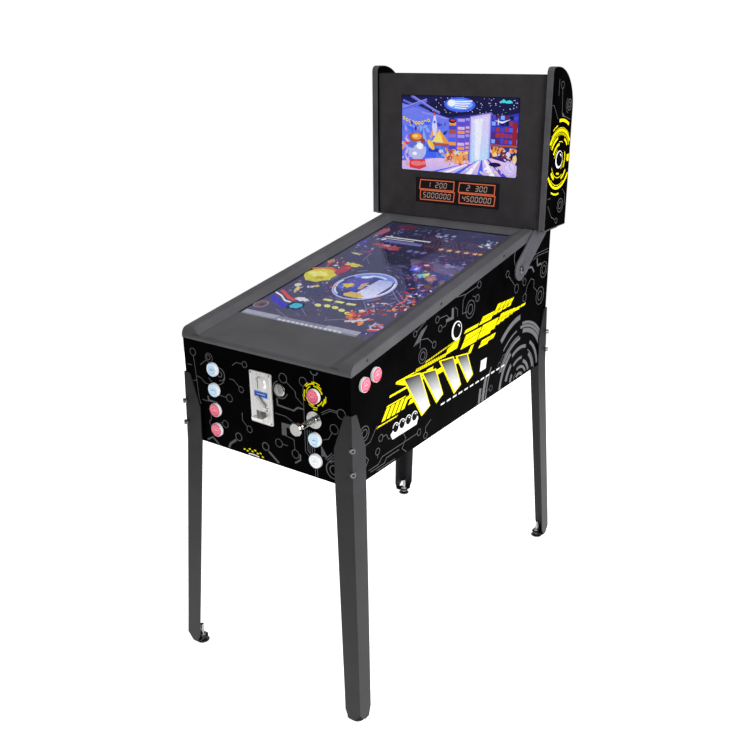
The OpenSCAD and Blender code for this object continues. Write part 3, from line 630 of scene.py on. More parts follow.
# The far end: glints, a banner, lamps and a row of stars
field_art += [(blob(-128, 812, 36, 20, 0.2, dice), tone(92, 40, 62)),
    (blob(-177, 760, 15, 30, 0.2, dice), tone(168, 92, 112)),
    (blob(-180, 660, 12, 20, 0.3, dice), tone(88, 76, 200))]
field_art += scatter(dice, 26, -150, 740, 40, 832, 2, 6, cool)
field_art += scatter(dice, 16, -6, 748, 56, 800, 3, 7, cool[2:3])
field_art += scatter(dice, 16, 150, 735, 190, 790, 3, 9,
    [tone(170, 186, 210), tone(220, 226, 236), tone(120, 140, 180)])
field_art += inked(tone(214, 216, 228), block(-147, 724, 6, 731), block(-147, 712, -40, 716))
field_art += inked(tone(112, 112, 176), block(-127, 688, -4, 705), block(-20, 640, -6, 656),
    block(2, 640, 16, 656), block(24, 640, 38, 656))
field_art += inked(tone(226, 228, 236), disc(-139, 706, 9, 7))
field_art += [(blob(-118, 662, 30, 12, 0.25, dice), tone(160, 84, 104)),
    (blob(-74, 652, 30, 14, 0.25, dice), tone(176, 72, 84)),
    (blob(-100, 664, 12, 5, 0.3, dice), tone(206, 160, 172)),
    (blob(-122, 610, 5, 12, 0.2, dice), tone(160, 64, 86))]
field_art += inked(tone(224, 176, 132), *[star(65 + 26.5 * i, 688, 10.5) for i in range(5)],
    star(186, 690, 8))
# The middle: targets, wings and thin rails
field_art += inked(tone(196, 198, 150), blob(-148, 582, 20, 5, 0.3, dice),
    stroke(1.6, (-172, 590), (-128, 574)))
field_art += inked(tone(128, 128, 170), stroke(2, (-112, 600), (-98, 540)),
    stroke(1.4, (-96, 560), (-66, 528)))
field_art += inked(tone(98, 90, 205), block(62, 528, 92, 562, -0.3))
field_art += inked(tone(206, 208, 235), block(70, 536, 80, 552), disc(88, 574, 8, 5))
field_art += [(patch((100, 500), (122, 532), (128, 498)), tone(150, 205, 90)),
    (patch((96, 508), (112, 522), (118, 488)), tone(96, 200, 214)),
    (patch((112, 520), (126, 528), (132, 506)), tone(226, 216, 110)),
    (blob(146, 500, 15, 17, 0.25, dice), tone(172, 96, 84)),
    (blob(88, 484, 8, 7, 0.3, dice), tone(160, 70, 100)),
    (blob(150, 586, 15, 9, 0.2, dice), tone(120, 120, 160))]
field_art += scatter(dice, 34, 130, 346, 190, 470, 3, 8, cool + hot)
field_art += scatter(dice, 14, 110, 420, 186, 560, 2, 6, cool)
field_art += inked(tone(206, 110, 120), stroke(6, (150, 380), (158, 352), (150, 330)))
field_art += inked(tone(150, 152, 196), stroke(2, (96, 396), (140, 352), (176, 330)),
    stroke(1.6, (104, 402), (150, 362)), stroke(1.4, (60, 320), (112, 262)))
# Small shards and arcs of light over the whole table
field_art += scatter(dice, 40, -150, 736, 190, 834, 2, 6,
    [tone(96, 84, 132), tone(74, 74, 118), tone(120, 104, 140)])
field_art += scatter(dice, 36, -188, 560, -120, 736, 2, 7,
    cool[1:] + [tone(132, 84, 130), tone(60, 72, 150)])
field_art += scatter(dice, 40, 84, 480, 190, 660, 2, 6, cool + [tone(120, 84, 130), tone(96, 64, 108)])
field_art += scatter(dice, 44, 84, 262, 190, 350, 2, 6, hot + cool[1:] + [tone(150, 74, 96)])
field_art += scatter(dice, 26, -60, 500, 90, 640, 1.5, 4,
    [tone(92, 92, 140), tone(120, 116, 160), tone(74, 76, 120)])
field_art += scatter(dice, 24, -100, 180, 70, 280, 1.5, 4,
    [tone(110, 108, 140), tone(140, 120, 132), tone(88, 88, 120)])
globe = (9, 397)
dusk = [tone(104, 104, 160), tone(84, 84, 136), tone(130, 126, 176), tone(120, 92, 140), tone(70, 78, 150)]
field_art += swirl(dice, 90, *globe, 90, 150, dusk) + swirl(dice, 46, 122, 590, 14, 66, dusk + hot[3:])
field_art += swirl(dice, 46, -122, 650, 12, 68, dusk) + swirl(dice, 30, 120, 300, 12, 64, dusk + hot)
# The globe, with a rim light, a pale window on the right and gold pieces inside
field_art += inked(tone(178, 184, 230), disc(*globe, 85)) + inked(tone(74, 80, 132), disc(9, 396, 80))
field_art += [(ring(*globe, 56, 79, 34, 146), tone(122, 142, 214)),
    (patch((14, 336), (24, 444), (66, 446), (76, 420), (72, 346), (40, 326)),
    (tone(222, 222, 246), tone(168, 176, 226))),
    (patch((-58, 420), (-30, 446), (6, 452), (0, 380), (-40, 350)), tone(96, 92, 170)),
    (blob(-36, 384, 20, 13, 0.3, dice), tone(214, 190, 92)),
    (blob(14, 340, 26, 14, 0.3, dice), tone(208, 176, 104)),
    (patch((-14, 360), (-8, 410), (4, 414), (6, 352)), tone(72, 88, 190)),
    (patch((-6, 404), (8, 420), (14, 376), (4, 372)), tone(196, 164, 140)),
    (patch((-62, 372), (-46, 360), (-36, 366), (-52, 388)), tone(92, 110, 200)),
    (ring(*globe, 76, 80, 300, 390), tone(236, 240, 252)),
    (ring(*globe, 74, 79, 170, 240), tone(206, 212, 240)),
    (ring(*globe, 60, 66, 60, 110), tone(206, 216, 246)), (disc(-18, 446, 16, 7, 24), tone(216, 224, 250))]
field_art += scatter(dice, 18, -44, 350, 20, 440, 2, 5, cool + [tone(222, 200, 120)])
# Left: a splash of gold with flames over it, ribbons and a teal lamp
field_art += [(blob(-150, 448, 46, 20, 0.25, dice), tone(206, 120, 86)),
    (blob(-112, 470, 16, 34, 0.2, dice), tone(172, 74, 96)),
    (blob(-150, 414, 45, 40, 0.14, dice), tone(206, 196, 84)),
    (blob(-158, 420, 28, 22, 0.3, dice), tone(224, 220, 128)),
    (blob(-140, 402, 14, 10, 0.4, dice), tone(186, 170, 60)),
    (blob(-104, 508, 24, 11, 0.3, dice), tone(208, 190, 96)),
    (blob(-182, 508, 10, 14, 0.3, dice), tone(180, 130, 110)),
    (blob(-166, 340, 10, 9, 0.3, dice), tone(214, 212, 190)),
    (disc(-148, 314, 6, 18, 20), tone(206, 200, 120)),
    (blob(-112, 352, 8, 5, 0.3, dice), tone(196, 180, 110))]
field_art += scatter(dice, 30, -186, 300, -60, 380, 1.5, 5, hot + cool)
field_art += scatter(dice, 14, -180, 470, -90, 560, 2, 5, hot)
field_art += inked(tone(206, 84, 92), stroke(9, (-184, 296), (-160, 282), (-130, 262), (-108, 258)))
field_art += inked(tone(228, 228, 236), stroke(4.5, (-190, 280), (-162, 268), (-132, 246), (-112, 244)))
field_art += inked(tone(74, 70, 190), stroke(17, (-184, 260), (-150, 236), (-106, 218)),
    stroke(7, (-108, 276), (-82, 262)))
field_art += [(blob(-84, 230, 25, 22, 0.15, dice), tone(44, 62, 92)),
    (blob(-82, 230, 17, 15, 0.2, dice), tone(80, 176, 206)),
    (blob(-94, 268, 20, 9, 0.3, dice), tone(212, 212, 222)), (disc(-177, 205, 21), tone(110, 92, 104)),
    (ring(-177, 205, 17, 20), tone(146, 130, 140)), (blob(-172, 203, 9, 7, 0.2, dice), tone(86, 70, 84))]
field_art += inked(tone(216, 216, 140),
    *[block(-42 + 36 * i, 286, -18 + 36 * i, 294, 0.3) for i in range(3)],
    *[disc(-33 + 25 * i, 249 + (6, 11, 10, 3, -6)[i], 9.5, 6.5, -12) for i in range(5)])
field_art += inked(tone(122, 120, 146), stroke(1.4, (-64, 226), (-22, 194)),
    stroke(1.4, (84, 216), (36, 190)), stroke(1.2, (-120, 196), (-40, 158)))
# The near end on the right, and the bars along the front edge
field_art += scatter(dice, 34, 66, 206, 138, 272, 3, 9, hot)
field_art += scatter(dice, 20, 152, 170, 190, 224, 3, 8, cool + hot)
field_art += inked(tone(196, 196, 206), stroke(6, (86, 204), (124, 222), (134, 238)),
    ring(176, 206, 13, 16, 100, 330))
field_art += inked(tone(206, 78, 92), stroke(5, (168, 184), (186, 190)))
field_art += inked(tone(132, 132, 150), block(-192, 144, 158, 166))
field_art += inked(tone(160, 160, 178), block(-192, 150, -84, 168), block(64, 152, 158, 170))
field_art += inked(tone(214, 214, 224), *[block(-76 + 14 * i, 148, -66 + 14 * i, 154) for i in range(14)])

field_glow = lit_picture("field_glow", 1.12, 0.78, 9)
slope_flat = Flat((0, front_y, lip_z * MM), (1, 0, 0), up_slope, off_slope)
under_glass = 4.98            # from the glass plane down to the lit face
printed("playfield_picture", slope_flat, field_art, field_glow, "root", lift=-under_glass,
    step=0.0024)

# ---- Playfield glass ----
# One sheet of 4 mm tempered glass slides in between the rails. An anti-glare coating keeps the
# reflection of the upper picture in it faint.

tempered = finish("tempered", tone(244, 246, 246), tone(250, 250, 250), 120, (0.01, 0.03), 30, 0.0002,
    {"Transmission Weight": 1.0, "IOR": 1.2})
dress(tempered, "playfield_glass")

# ---- Inside the cabinet ----
# Pine corner blocks and cleats, a small computer, a power supply and an input board on the floor,
# and two speakers that fire down through the bottom panel behind wire guards.

raw_wood = finish("raw_wood", tone(150, 116, 78), tone(198, 166, 122), 8, (0.55, 0.75), 1.4, 0.08, (),
    (1, 1, 0.12))
module_case = finish("module_case", tone(70, 72, 76), tone(92, 94, 98), 20, (0.35, 0.5), 0.8, 0.04,
    {"Metallic": 0.8})
circuit_green = finish("circuit_green", tone(14, 66, 40), tone(26, 92, 58), 3, (0.3, 0.5), 0.6, 0.03)
dress(raw_wood, "inner_supports")
dress(module_case, "computer", "power_supply")
dress(circuit_green, "io_board")
dress(black_plastic, "speakers", "button_switches", "coin_acceptor")
ease(0.6, "inner_supports", "computer", "power_supply")


def wire(mesh, path, radius, sides=8, closed=False):
    """A round wire, in metres along its path and in millimetres across."""
    count = len(path)
    side = None
    hoops = []
    for i, here in enumerate(path):
        ahead = path[(i + 1) % count] if closed or i < count - 1 else here
        behind = path[i - 1] if closed or i else here
        way = (ahead - behind).normalized()
        side = way.orthogonal() if side is None else side
        side = (side - way * side.dot(way)).normalized()
        other = way.cross(side)
        hoops.append([mesh.verts.new(here + (side * math.cos(a) + other * math.sin(a)) * radius * MM)
            for a in round_turns(sides)])
    for low, high in zip(hoops, hoops[1:] + hoops[:1] if closed else hoops[1:]):
        for k in range(sides):
            mesh.faces.new([low[k], low[(k + 1) % sides], high[(k + 1) % sides], high[k]])
    if not closed:
        mesh.faces.new(hoops[0][::-1])
        mesh.faces.new(hoops[-1])


underside = Flat((0, front_y, side_low.z), (1, 0, 0), (0, 1, 0), (0, 0, -1))
speaker_y = 330               # from the front face back to the speakers' middle
guards = bmesh.new()
for speaker_x in (-110, 110):
    for hoop in (12, 22, 32, 42, 50):
        circle = [underside.at(speaker_x + hoop * math.cos(a), speaker_y + hoop * math.sin(a), 1.6)
            for a in round_turns(48)]
        wire(guards, circle, 0.8, closed=True)
    for a in [math.pi / 4 + math.pi / 2 * i for i in range(4)]:
        spoke = [underside.at(speaker_x + r * math.cos(a), speaker_y + r * math.sin(a),
            2.4 if r < 50 else 0.4) for r in (8, 30, 49, 53)]
        wire(guards, spoke, 0.9)
finished("speaker_guards", guards, black_plastic, "root", smooth=True)

# ---- Legs, bolts and feet ----
# Each leg is one folded steel sheet, powder coated charcoal with a fine orange peel. Two dull
# steel socket bolts pull it into the corner block, and a chromed foot screws into its plate.

leg_paint = finish("leg_paint", tone(23, 23, 26), tone(29, 29, 32), 70, (0.36, 0.48), 1.1, 0.07,
    {"IOR": 1.35})
zinc_steel = finish("zinc_steel", tone(150, 150, 152), tone(188, 188, 190), 5, (0.25, 0.42), 0.8, 0.02,
    {"Metallic": 1.0})
chrome = finish("chrome", tone(154, 153, 150), tone(166, 165, 162), 10, (0.1, 0.2), 3, 0.006,
    {"Metallic": 1.0})
dress(leg_paint, "front_legs", "rear_legs")
bolt_steel = finish("bolt_steel", tone(100, 100, 104), tone(132, 132, 136), 5, (0.3, 0.45), 0.8, 0.02,
    {"Metallic": 1.0})
dress(bolt_steel, "cabinet_bolts")
dress(zinc_steel, "foot_jam_nuts", "coin_return_flap", "plate_screws")
dress(chrome, *[f"foot_{end}_{side}" for end in ("front", "rear") for side in ("left", "right")])
ease(0.7, "front_legs", "rear_legs")

# ---- Buttons ----
# Illuminated arcade buttons: a white collar with a threaded neck, and a clear cap over a coloured
# insert that glows a little. Each cap has a ring and a plain mark under it.

ring_white = finish("ring_white", tone(232, 232, 234), tone(243, 243, 245), 8, (0.22, 0.32), 1.0, 0.01,
    {"Coat Weight": 0.3, "Coat Roughness": 0.1})
dress(ring_white, "button_bezels")


def lit_cap(name, deep, bright, glow):
    """Clear plastic over a coloured insert with a lamp behind it."""
    return finish(name, deep, bright, 7, (0.12, 0.22), 1.5, 0.01,
        {"Coat Weight": 0.7, "Coat Roughness": 0.06, "Emission Color": bright, "Emission Strength": glow,
        "Subsurface Weight": 0.15, "Subsurface Scale": 0.004})


cap_red = lit_cap("cap_red", tone(214, 60, 94), tone(232, 84, 118), 0.12)
cap_blue = lit_cap("cap_blue", tone(186, 216, 238), tone(208, 232, 248), 0.16)
cap_white = lit_cap("cap_white", tone(226, 228, 232), tone(240, 242, 246), 0.2)
mark_ink = ink_finish("mark_ink", (0.2, 0.3))
left_flat = Flat((side_low.x, front_y, 0), (0, -1, 0), (0, 0, 1), (-1, 0, 0))
right_flat = Flat((side_high.x, front_y, 0), (0, 1, 0), (0, 0, 1), (1, 0, 0))
left_column, right_column = -154, 151
top_row, row_pitch = 814, 52
row_zs = [top_row - row_pitch * row for row in range(4)]
buttons = [(f"button_left_{i + 1}", front_flat, left_column, z, "blue" if i < 2 else "red")
    for i, z in enumerate(row_zs)]
buttons += [("launch_button", front_flat, right_column, row_zs[0], "red"),
    ("button_right_3", front_flat, right_column, row_zs[2], "blue"),
    ("button_right_4", front_flat, right_column, row_zs[3], "white")]
for side, flat, way in (("left", left_flat, -1), ("right", right_flat, 1)):
    for end, back, up in (("front", 47, 847), ("rear", 90, 857)):
        buttons.append((f"flipper_button_{side}_{end}", flat, way * back, up, "red"))
cap_finishes = {"red": cap_red, "blue": cap_blue, "white": cap_white}
cap_marks = {"red": tone(250, 180, 196), "blue": tone(120, 156, 204), "white": tone(196, 200, 208)}
for node, flat, u, v, tint in buttons:
    dress(cap_finishes[tint], node)
    mark = inked(cap_marks[tint], block(u - 5.5, v - 1, u + 5.5, v + 1), disc(u, v + 4.4, 1.3),
        ring(u, v, 9.3, 9.9))
    printed(f"mark_{node}", flat, mark, mark_ink, node, lift=7.75, step=0.01)

# ---- Coin plate ----
# A brushed steel plate over the coin unit: a domed slot guard at the top, a plain blue label, the
# return lever, and the scoop of the return cup. Four small screws hold it to the panel.

brushed_steel = finish("brushed_steel", tone(214, 212, 209), tone(238, 236, 234), 6, (0.24, 0.4), 0.5,
    0.015, {"Metallic": 0.45}, (1, 1, 0.04))
dress(brushed_steel, "coin_plate")
dress(chrome, "coin_return_lever")
ease(0.35, "coin_return_flap")
plate_low, plate_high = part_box("coin_plate")
plate_tall = 127
plate_middle = ((plate_low.x + plate_high.x) / 2, front_y, plate_high.z - plate_tall / 2 * MM)
plate_flat = Flat(plate_middle, (1, 0, 0), (0, 0, 1), (0, -1, 0))
label = inked(tone(52, 96, 196), block(-20, 2, 20, 17))
label += inked(tone(206, 218, 240), block(-13, 8.6, 13, 10.4), block(-18.6, 3.2, 18.6, 3.9),
    block(-18.6, 15.1, 18.6, 15.8))
label += inked(tone(58, 58, 60), block(10, -22, 22, -20.8), patch((13, -26), (19, -26), (16, -31)))
printed("coin_label", plate_flat, label, mark_ink, "root", lift=3.02)

# A crossed recess in the head of each screw, drawn as a thin black cross of painted shade where the hollow
# would look dark
slot_long, slot_thin = 1.5, 0.25
recess_shade = bmesh.new()
for x in (-28, 28):
    for z in (-59, 59):
        for points in (block(x - slot_long, z - slot_thin, x + slot_long, z + slot_thin),
                block(x - slot_thin, z - slot_long, x + slot_thin, z + slot_long)):
            corners = [[recess_shade.verts.new(plate_flat.at(u, v, h)) for u, v in points[0]]
                for h in (4.2, 4.45)]
            recess_shade.faces.new(corners[0][::-1])
            recess_shade.faces.new(corners[1])
            for i in range(4):
                recess_shade.faces.new([corners[0][i], corners[0][(i + 1) % 4], corners[1][(i + 1) % 4],
                    corners[1][i]])
finished("screw_recess_shade", recess_shade, black_plastic, "root")

# ---- Cam lock ----
# A chromed cam lock for the front of the cabinet: the barrel is nutted from inside and the plug
# turns in it with a key.

dress(chrome, "lock_barrel")
dress(zinc_steel, "lock_plug")
ease(0.3, "lock_barrel")

# ---- Shooter rod ----
# A chromed housing with a polished rod and knob. The short barrel spring outside cushions the
# knob, and the long main spring inside throws the rod forward.

dress(chrome, "plunger_housing", "plunger_rod")
spring_steel = finish("spring_steel", tone(128, 128, 130), tone(168, 168, 170), 4, (0.2, 0.34), 1.0, 0.01,
    {"Metallic": 1.0})
rod_x, rod_z = 149, 757


def coil_spring(name, node, radius, gauge, near, far, turns):
    """A wound wire between two distances out of the front panel."""
    mesh = bmesh.new()
    steps = turns * 22
    closing = 0.75            # share of a turn that lies flat at each end
    path = []
    for i in range(steps + 1):
        turned_by = turns * i / steps
        climb = min(max((turned_by - closing) / (turns - 2 * closing), 0), 1)
        a = 2 * math.pi * turned_by
        path.append(front_flat.at(rod_x + radius * math.cos(a), rod_z + radius * math.sin(a),
            near + (far - near) * climb))
    wire(mesh, path, gauge, 10)
    spring = finished(name, mesh, spring_steel, None, smooth=True)
    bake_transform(spring)
    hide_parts(node)


coil_spring("main_spring", "plunger_spring", 6.2, 0.8, -32.9, -99.1, 10)
coil_spring("barrel_spring", "plunger_barrel_spring", 6.4, 0.9, 9.2, 30.2, 6)

# ---- Fan, mains inlet and rear vents ----
# A case fan behind slots in the rear panel, and a black inlet that snaps in with its own rocker
# switch. Three plated pins stand in the socket.

dress(black_plastic, "fan_frame", "mains_inlet", "fan_rotor")
rocker_red = finish("rocker_red", tone(150, 22, 22), tone(182, 34, 32), 6, (0.25, 0.36), 1, 0.01,
    {"Coat Weight": 0.4})
dress(rocker_red, "rocker_switch")
ease(0.5, "mains_inlet", "fan_frame")
inlet_low, inlet_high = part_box("mains_inlet")
pin_long = 14
pins = bmesh.new()
for x, z in ((-7, -13.5), (7, -13.5), (0, -9)):
    centre = Vector(((inlet_low.x + inlet_high.x) / 2, inlet_high.y, (inlet_low.z + inlet_high.z) / 2))
    centre += Vector((x, -5, z)) * MM
    made = bmesh.ops.create_cube(pins, size=1)["verts"]
    bmesh.ops.scale(pins, vec=(2 * MM, pin_long * MM, 4 * MM), verts=made)
    bmesh.ops.translate(pins, vec=centre + Vector((0, -pin_long / 2 * MM, 0)), verts=made)
bmesh.ops.bevel(pins, geom=list(pins.edges), offset=0.5 * MM, segments=2, affect="EDGES")
finished("inlet_pins", pins, zinc_steel, "root", smooth=True)

# ---- Backbox ----
# A folding box for the second display. Its side panels carry the printed film, a soft plastic
# moulding is pressed round their edges, and the rest is black laminate on fibreboard.

front_board = finish("front_board", tone(56, 53, 55), tone(63, 60, 62), 40, (0.5, 0.62), 0.8, 0.05,
    {"IOR": 1.2})
edge_moulding = finish("edge_moulding", tone(72, 72, 75), tone(82, 82, 85), 30, (0.4, 0.5), 0.9, 0.05,
    {"IOR": 1.35})
dress(printed_film, "backbox_sides")
dress(front_board, "backbox_front_board")
dress(edge_moulding, "backbox_edge_trims")
dress(black_laminate, "backbox_floor", "backbox_roof", "backbox_rear_cover")
ease(1.6, "backbox_edge_trims")
ease(0.7, "backbox_front_board", "backbox_roof", "backbox_rear_cover", "backbox_floor")

# Artwork on the backbox sides: a broken wheel of yellow arcs with a ball at its hub
hub = (928, 1232)
hub_arcs = [(100, 108, 60, 97), (92, 95, 103, 122), (92, 97, 245, 277), (84, 85.5, 48, 132),
    (74, 82, 34.5, 146), (74, 81, 213, 327), (69.5, 71.5, 30, 150), (69, 71, 226, 300), (66, 67.2, 60, 110),
    (57, 64, 106, 150), (57, 63, 36, 62), (52, 66, -9, 9), (54, 60, 290, 326), (53, 61, 214, 240),
    (48, 50, 200, 300), (38, 45, 94, 158), (37, 41, -38, 28), (36, 41, 250, 276), (47, 49, 70, 96),
    (30, 32, 120, 170), (30, 31.5, 300, 350)]
hub_art = []
for inner, outer, first, last in hub_arcs:
    hub_art += inked(INK_YELLOW, ring(*hub, inner, outer, first, last))
hub_art += inked(INK_BLACK, *[stroke(1.3, (hub[0] + 74 * math.cos(a), hub[1] + 74 * math.sin(a)),
    (hub[0] + 78 * math.cos(a + 0.05), hub[1] + 78 * math.sin(a + 0.05)))
    for a in [math.radians(40 + 5 * i) for i in range(20)]])
hub_art += inked(INK_WHITE, disc(*hub, 24)) + inked(INK_BLACK, disc(hub[0] + 2, hub[1] + 1.5, 20))
hub_art += inked(INK_WHITE, ring(hub[0] + 2, hub[1] + 1.5, 11, 14.4, 24, 80))
box_traces = [([(923, 1417), (930, 1352)], 10, 0), ([(948, 1345), (988, 1334)], 0, 0),
    ([(862, 1377), (873, 1377), (904, 1341)], 0, 0), ([(872, 1112), (900, 1078), (928, 1066)], 0, 8),
    ([(866, 1131), (888, 1131)], 0, 0), ([(900, 1442), (900, 1400)], 0, 0),
    ([(966, 1148), (986, 1130), (986, 1100)], 0, 0)]
box_lines = []
for points, start, stop in box_traces:
    box_lines += trace(points, start, stop)
box_lines += [patch((930, 1354), (936, 1354), (950, 1342), (932, 1346)), ring(976, 1374, 13.5, 15.5),
    ring(976, 1374, 6, 8), ring(956, 1103, 18, 20), ring(956, 1103, 9, 11),
    ring(976, 1374, 22, 23.5, 130, 250)]
side_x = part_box("backbox_sides")[1].x
for name, out in (("backbox_print_right", 1), ("backbox_print_left", -1)):
    panel = Flat((out * side_x, front_y, 0), (0, 1, 0), (0, 0, 1), (out, 0, 0))
    printed(name, panel, inked(INK_GREY, *box_lines) + hub_art, print_ink, "backbox")

# ---- Backbox display ----
# The upper panel shows a cluttered toy attic at night, with an open bright door. It is drawn in
# flat shapes of light from back to front, and a black edge trims it.

upper_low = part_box("backbox_display")[0]
upper_z = 1287.5              # middle of the lit picture
upper_flat = Flat((0, upper_low.y, upper_z * MM), (1, 0, 0), (0, 0, 1), (0, -1, 0))
NIGHT, INDIGO, ROYAL, SKY = tone(16, 18, 70), tone(76, 70, 198), tone(66, 102, 244), tone(132, 170, 254)
LILAC, PALE, ROSE = tone(172, 156, 240), tone(214, 214, 252), tone(226, 182, 224)
AMBER, GOLD, RUST, CRIMSON = tone(240, 156, 70), tone(250, 216, 104), tone(176, 84, 52), tone(214, 60, 70)
AQUA, SNOW = tone(64, 222, 226), tone(248, 250, 255)
dice = random.Random(21)
# Walls, floor and roof, with beams, specks of light and strings of lamps
attic = [(block(-190, -107, 190, 107), (INDIGO, NIGHT)),
    (patch((-190, -107), (-190, 84), (-110, 66), (-30, 46), (-30, -60)),
    (tone(84, 108, 232), tone(116, 128, 240))),
    (patch((-30, -60), (-30, 46), (42, 50), (42, -66)), (tone(120, 96, 206), tone(92, 84, 210))),
    (patch((104, -60), (104, 48), (190, 66), (190, -70)), (tone(52, 40, 120), tone(48, 60, 190))),
    (patch((-190, -107), (-190, -82), (-60, -66), (42, -68), (104, -56), (190, -74), (190, -107)),
    (tone(196, 176, 240), tone(236, 200, 232)))]
attic += inked(NIGHT, patch((-112, 66), (-70, 106), (190, 106), (190, 68), (104, 50), (40, 60), (-30, 48)))
attic += inked(tone(94, 112, 226), stroke(7, (-188, 66), (-104, 92)), stroke(6, (-186, 92), (-96, 62)),
    stroke(6, (-158, 104), (-60, 58)))
attic += inked(LILAC, stroke(2, (-186, 72), (-104, 97)), stroke(2, (-150, 104), (-64, 62)),
    stroke(2, (-120, 60), (-34, 44)))
attic += [(block(u, v, u + r, v + r), SNOW)
    for u, v, r in [(dice.uniform(-92, 182), dice.uniform(60, 103), dice.uniform(1, 2.3))
    for _ in range(80)]]
attic += inked(ROYAL, disc(4, 84, 50, 20)) + inked(SKY, disc(4, 85, 42, 14))
attic += inked(SNOW, disc(-22, 88, 13, 9),
    *[stroke(3.4 - 0.4 * i, (-12, 92 - 5 * i), (16, 92 - 6 * i), (44 - 6 * i, 95 - 7 * i))
    for i in range(4)])
attic += inked(AQUA, stroke(4, (132, 94), (141, 100), (150, 93), (159, 98), (168, 93)), disc(141, 96, 8, 4),
    disc(158, 95, 9, 4))
attic += inked(GOLD, *[disc(-182 + 10.5 * i, 42 - 13 * math.sin(0.35 * i), 4.2, 5) for i in range(9)])
attic += inked(tone(60, 30, 20),
    *[disc(-182 + 10.5 * i, 42 - 13 * math.sin(0.35 * i), 1.8) for i in range(9)])
attic += inked(tone(206, 170, 120), *[disc(-160 + 9 * i, 22 - 7 * math.sin(0.5 * i), 2.6) for i in range(7)])
attic += scatter(dice, 46, -184, -70, -40, 30, 3, 10, [ROYAL, SKY, INDIGO, LILAC, tone(40, 56, 160)])
# Rocket, cone, crates and pyramid
attic += inked(PALE, patch((-80, -4), (-86, 22), (-77, 64), (-68, 22), (-72, -4)))
attic += inked(AMBER, patch((-80, -4), (-92, -10), (-84, 16)), patch((-72, -4), (-62, -10), (-69, 16)))
attic += inked(ROYAL, disc(-77, 34, 4)) + inked(CRIMSON, patch((-80, 52), (-77, 65), (-74, 52)))
attic += inked(tone(80, 96, 214), patch((-132, -22), (-116, 20), (-102, -22)))
attic += inked(SKY, patch((-118, -22), (-116, 20), (-102, -22)))
attic += [(block(-112, -66, -70, -30), ROYAL), (block(-66, -62, -44, -34), tone(74, 130, 240)),
    (block(-96, -50, -52, -40), tone(40, 60, 180)), (patch((-86, -22), (-26, -24), (-60, 14)), GOLD),
    (patch((-26, -24), (-60, 14), (-46, -24)), AMBER), (block(-84, -32, -30, -25), RUST),
    (disc(-88, -30, 17, 8, -52), tone(244, 190, 70)), (disc(-92, -30, 9, 3, -52), GOLD)]
attic += scatter(dice, 22, -60, -72, 0, -40, 3, 7, [SKY, PALE, AMBER, tone(206, 150, 90), ROYAL])
# The big ball with a cap, on the left
attic += inked(tone(178, 186, 236), disc(-135, -46, 31))
attic += inked(tone(96, 110, 206), ring(-135, -46, 14, 31, 96, 170), ring(-135, -46, 20, 31, 20, 60))
attic += inked(SNOW, disc(-126, -36, 12, 9), disc(-144, -58, 8, 5))
attic += inked(CRIMSON, patch((-166, -76), (-108, -72), (-104, -94), (-126, -103), (-160, -100)))
attic += inked(tone(236, 120, 130), disc(-136, -86, 22, 7), disc(-112, -84, 6))
attic += inked(RUST, disc(-140, -11, 25, 13)) + inked(AMBER, disc(-138, -9, 18, 9))
attic += inked(GOLD, disc(-142, -8, 9, 4)) + inked(tone(160, 60, 60), disc(-116, -20, 8, 6))
attic += scatter(dice, 14, -186, -96, -166, -10, 3, 8, [AMBER, ROSE, CRIMSON, SKY])
# Two shelved columns in the middle
for i in range(9):
    attic += inked((RUST, INDIGO, AMBER, ROYAL, tone(150, 110, 214))[i % 5],
        block(-28, -50 + 11 * i, -6, -41 + 11 * i))
    attic += inked((LILAC, AMBER, ROSE, tone(96, 80, 200))[i % 4], block(0, -50 + 11 * i, 22, -42 + 11 * i),
        block(26, -46 + 11 * i, 37, -40 + 11 * i))
attic += inked(NIGHT, disc(-18, 40, 12, 7)) + inked(CRIMSON, disc(-17, 41, 8, 3))
attic += [(block(-10, -80, 34, -44), tone(244, 176, 120)), (block(-6, -76, 14, -50), AMBER),
    (block(18, -74, 31, -54), tone(206, 120, 90)), (block(-36, -76, -12, -52), tone(240, 160, 96)),
    (block(-32, -72, -16, -58), RUST)]
attic += scatter(dice, 26, -34, -82, 38, -44, 2, 6, [GOLD, ROSE, PALE, RUST])
# The open door and the light that falls from it
attic += [(patch((40, -74), (104, -60), (104, 64), (40, 52)), (tone(150, 196, 250), tone(214, 196, 246))),
    (patch((46, -70), (98, -60), (98, 56), (46, 46)), (tone(186, 222, 254), tone(226, 210, 250)))]
attic += inked(tone(130, 116, 220), stroke(3, (40, -74), (40, 53), (104, 65), (104, -60)))
attic += inked(tone(236, 240, 255), patch((58, -66), (72, -63), (80, 50), (54, 46)))
for i in range(7):
    low, top = -84 + 38 * i, 42 + 9 * i
    attic += inked((ROYAL, SNOW)[i % 2] if i < 6 else INDIGO,
        patch((low, -106), (low + 17, -106), (top + 4, -72 + 2 * i), (top, -73 + 2 * i)))
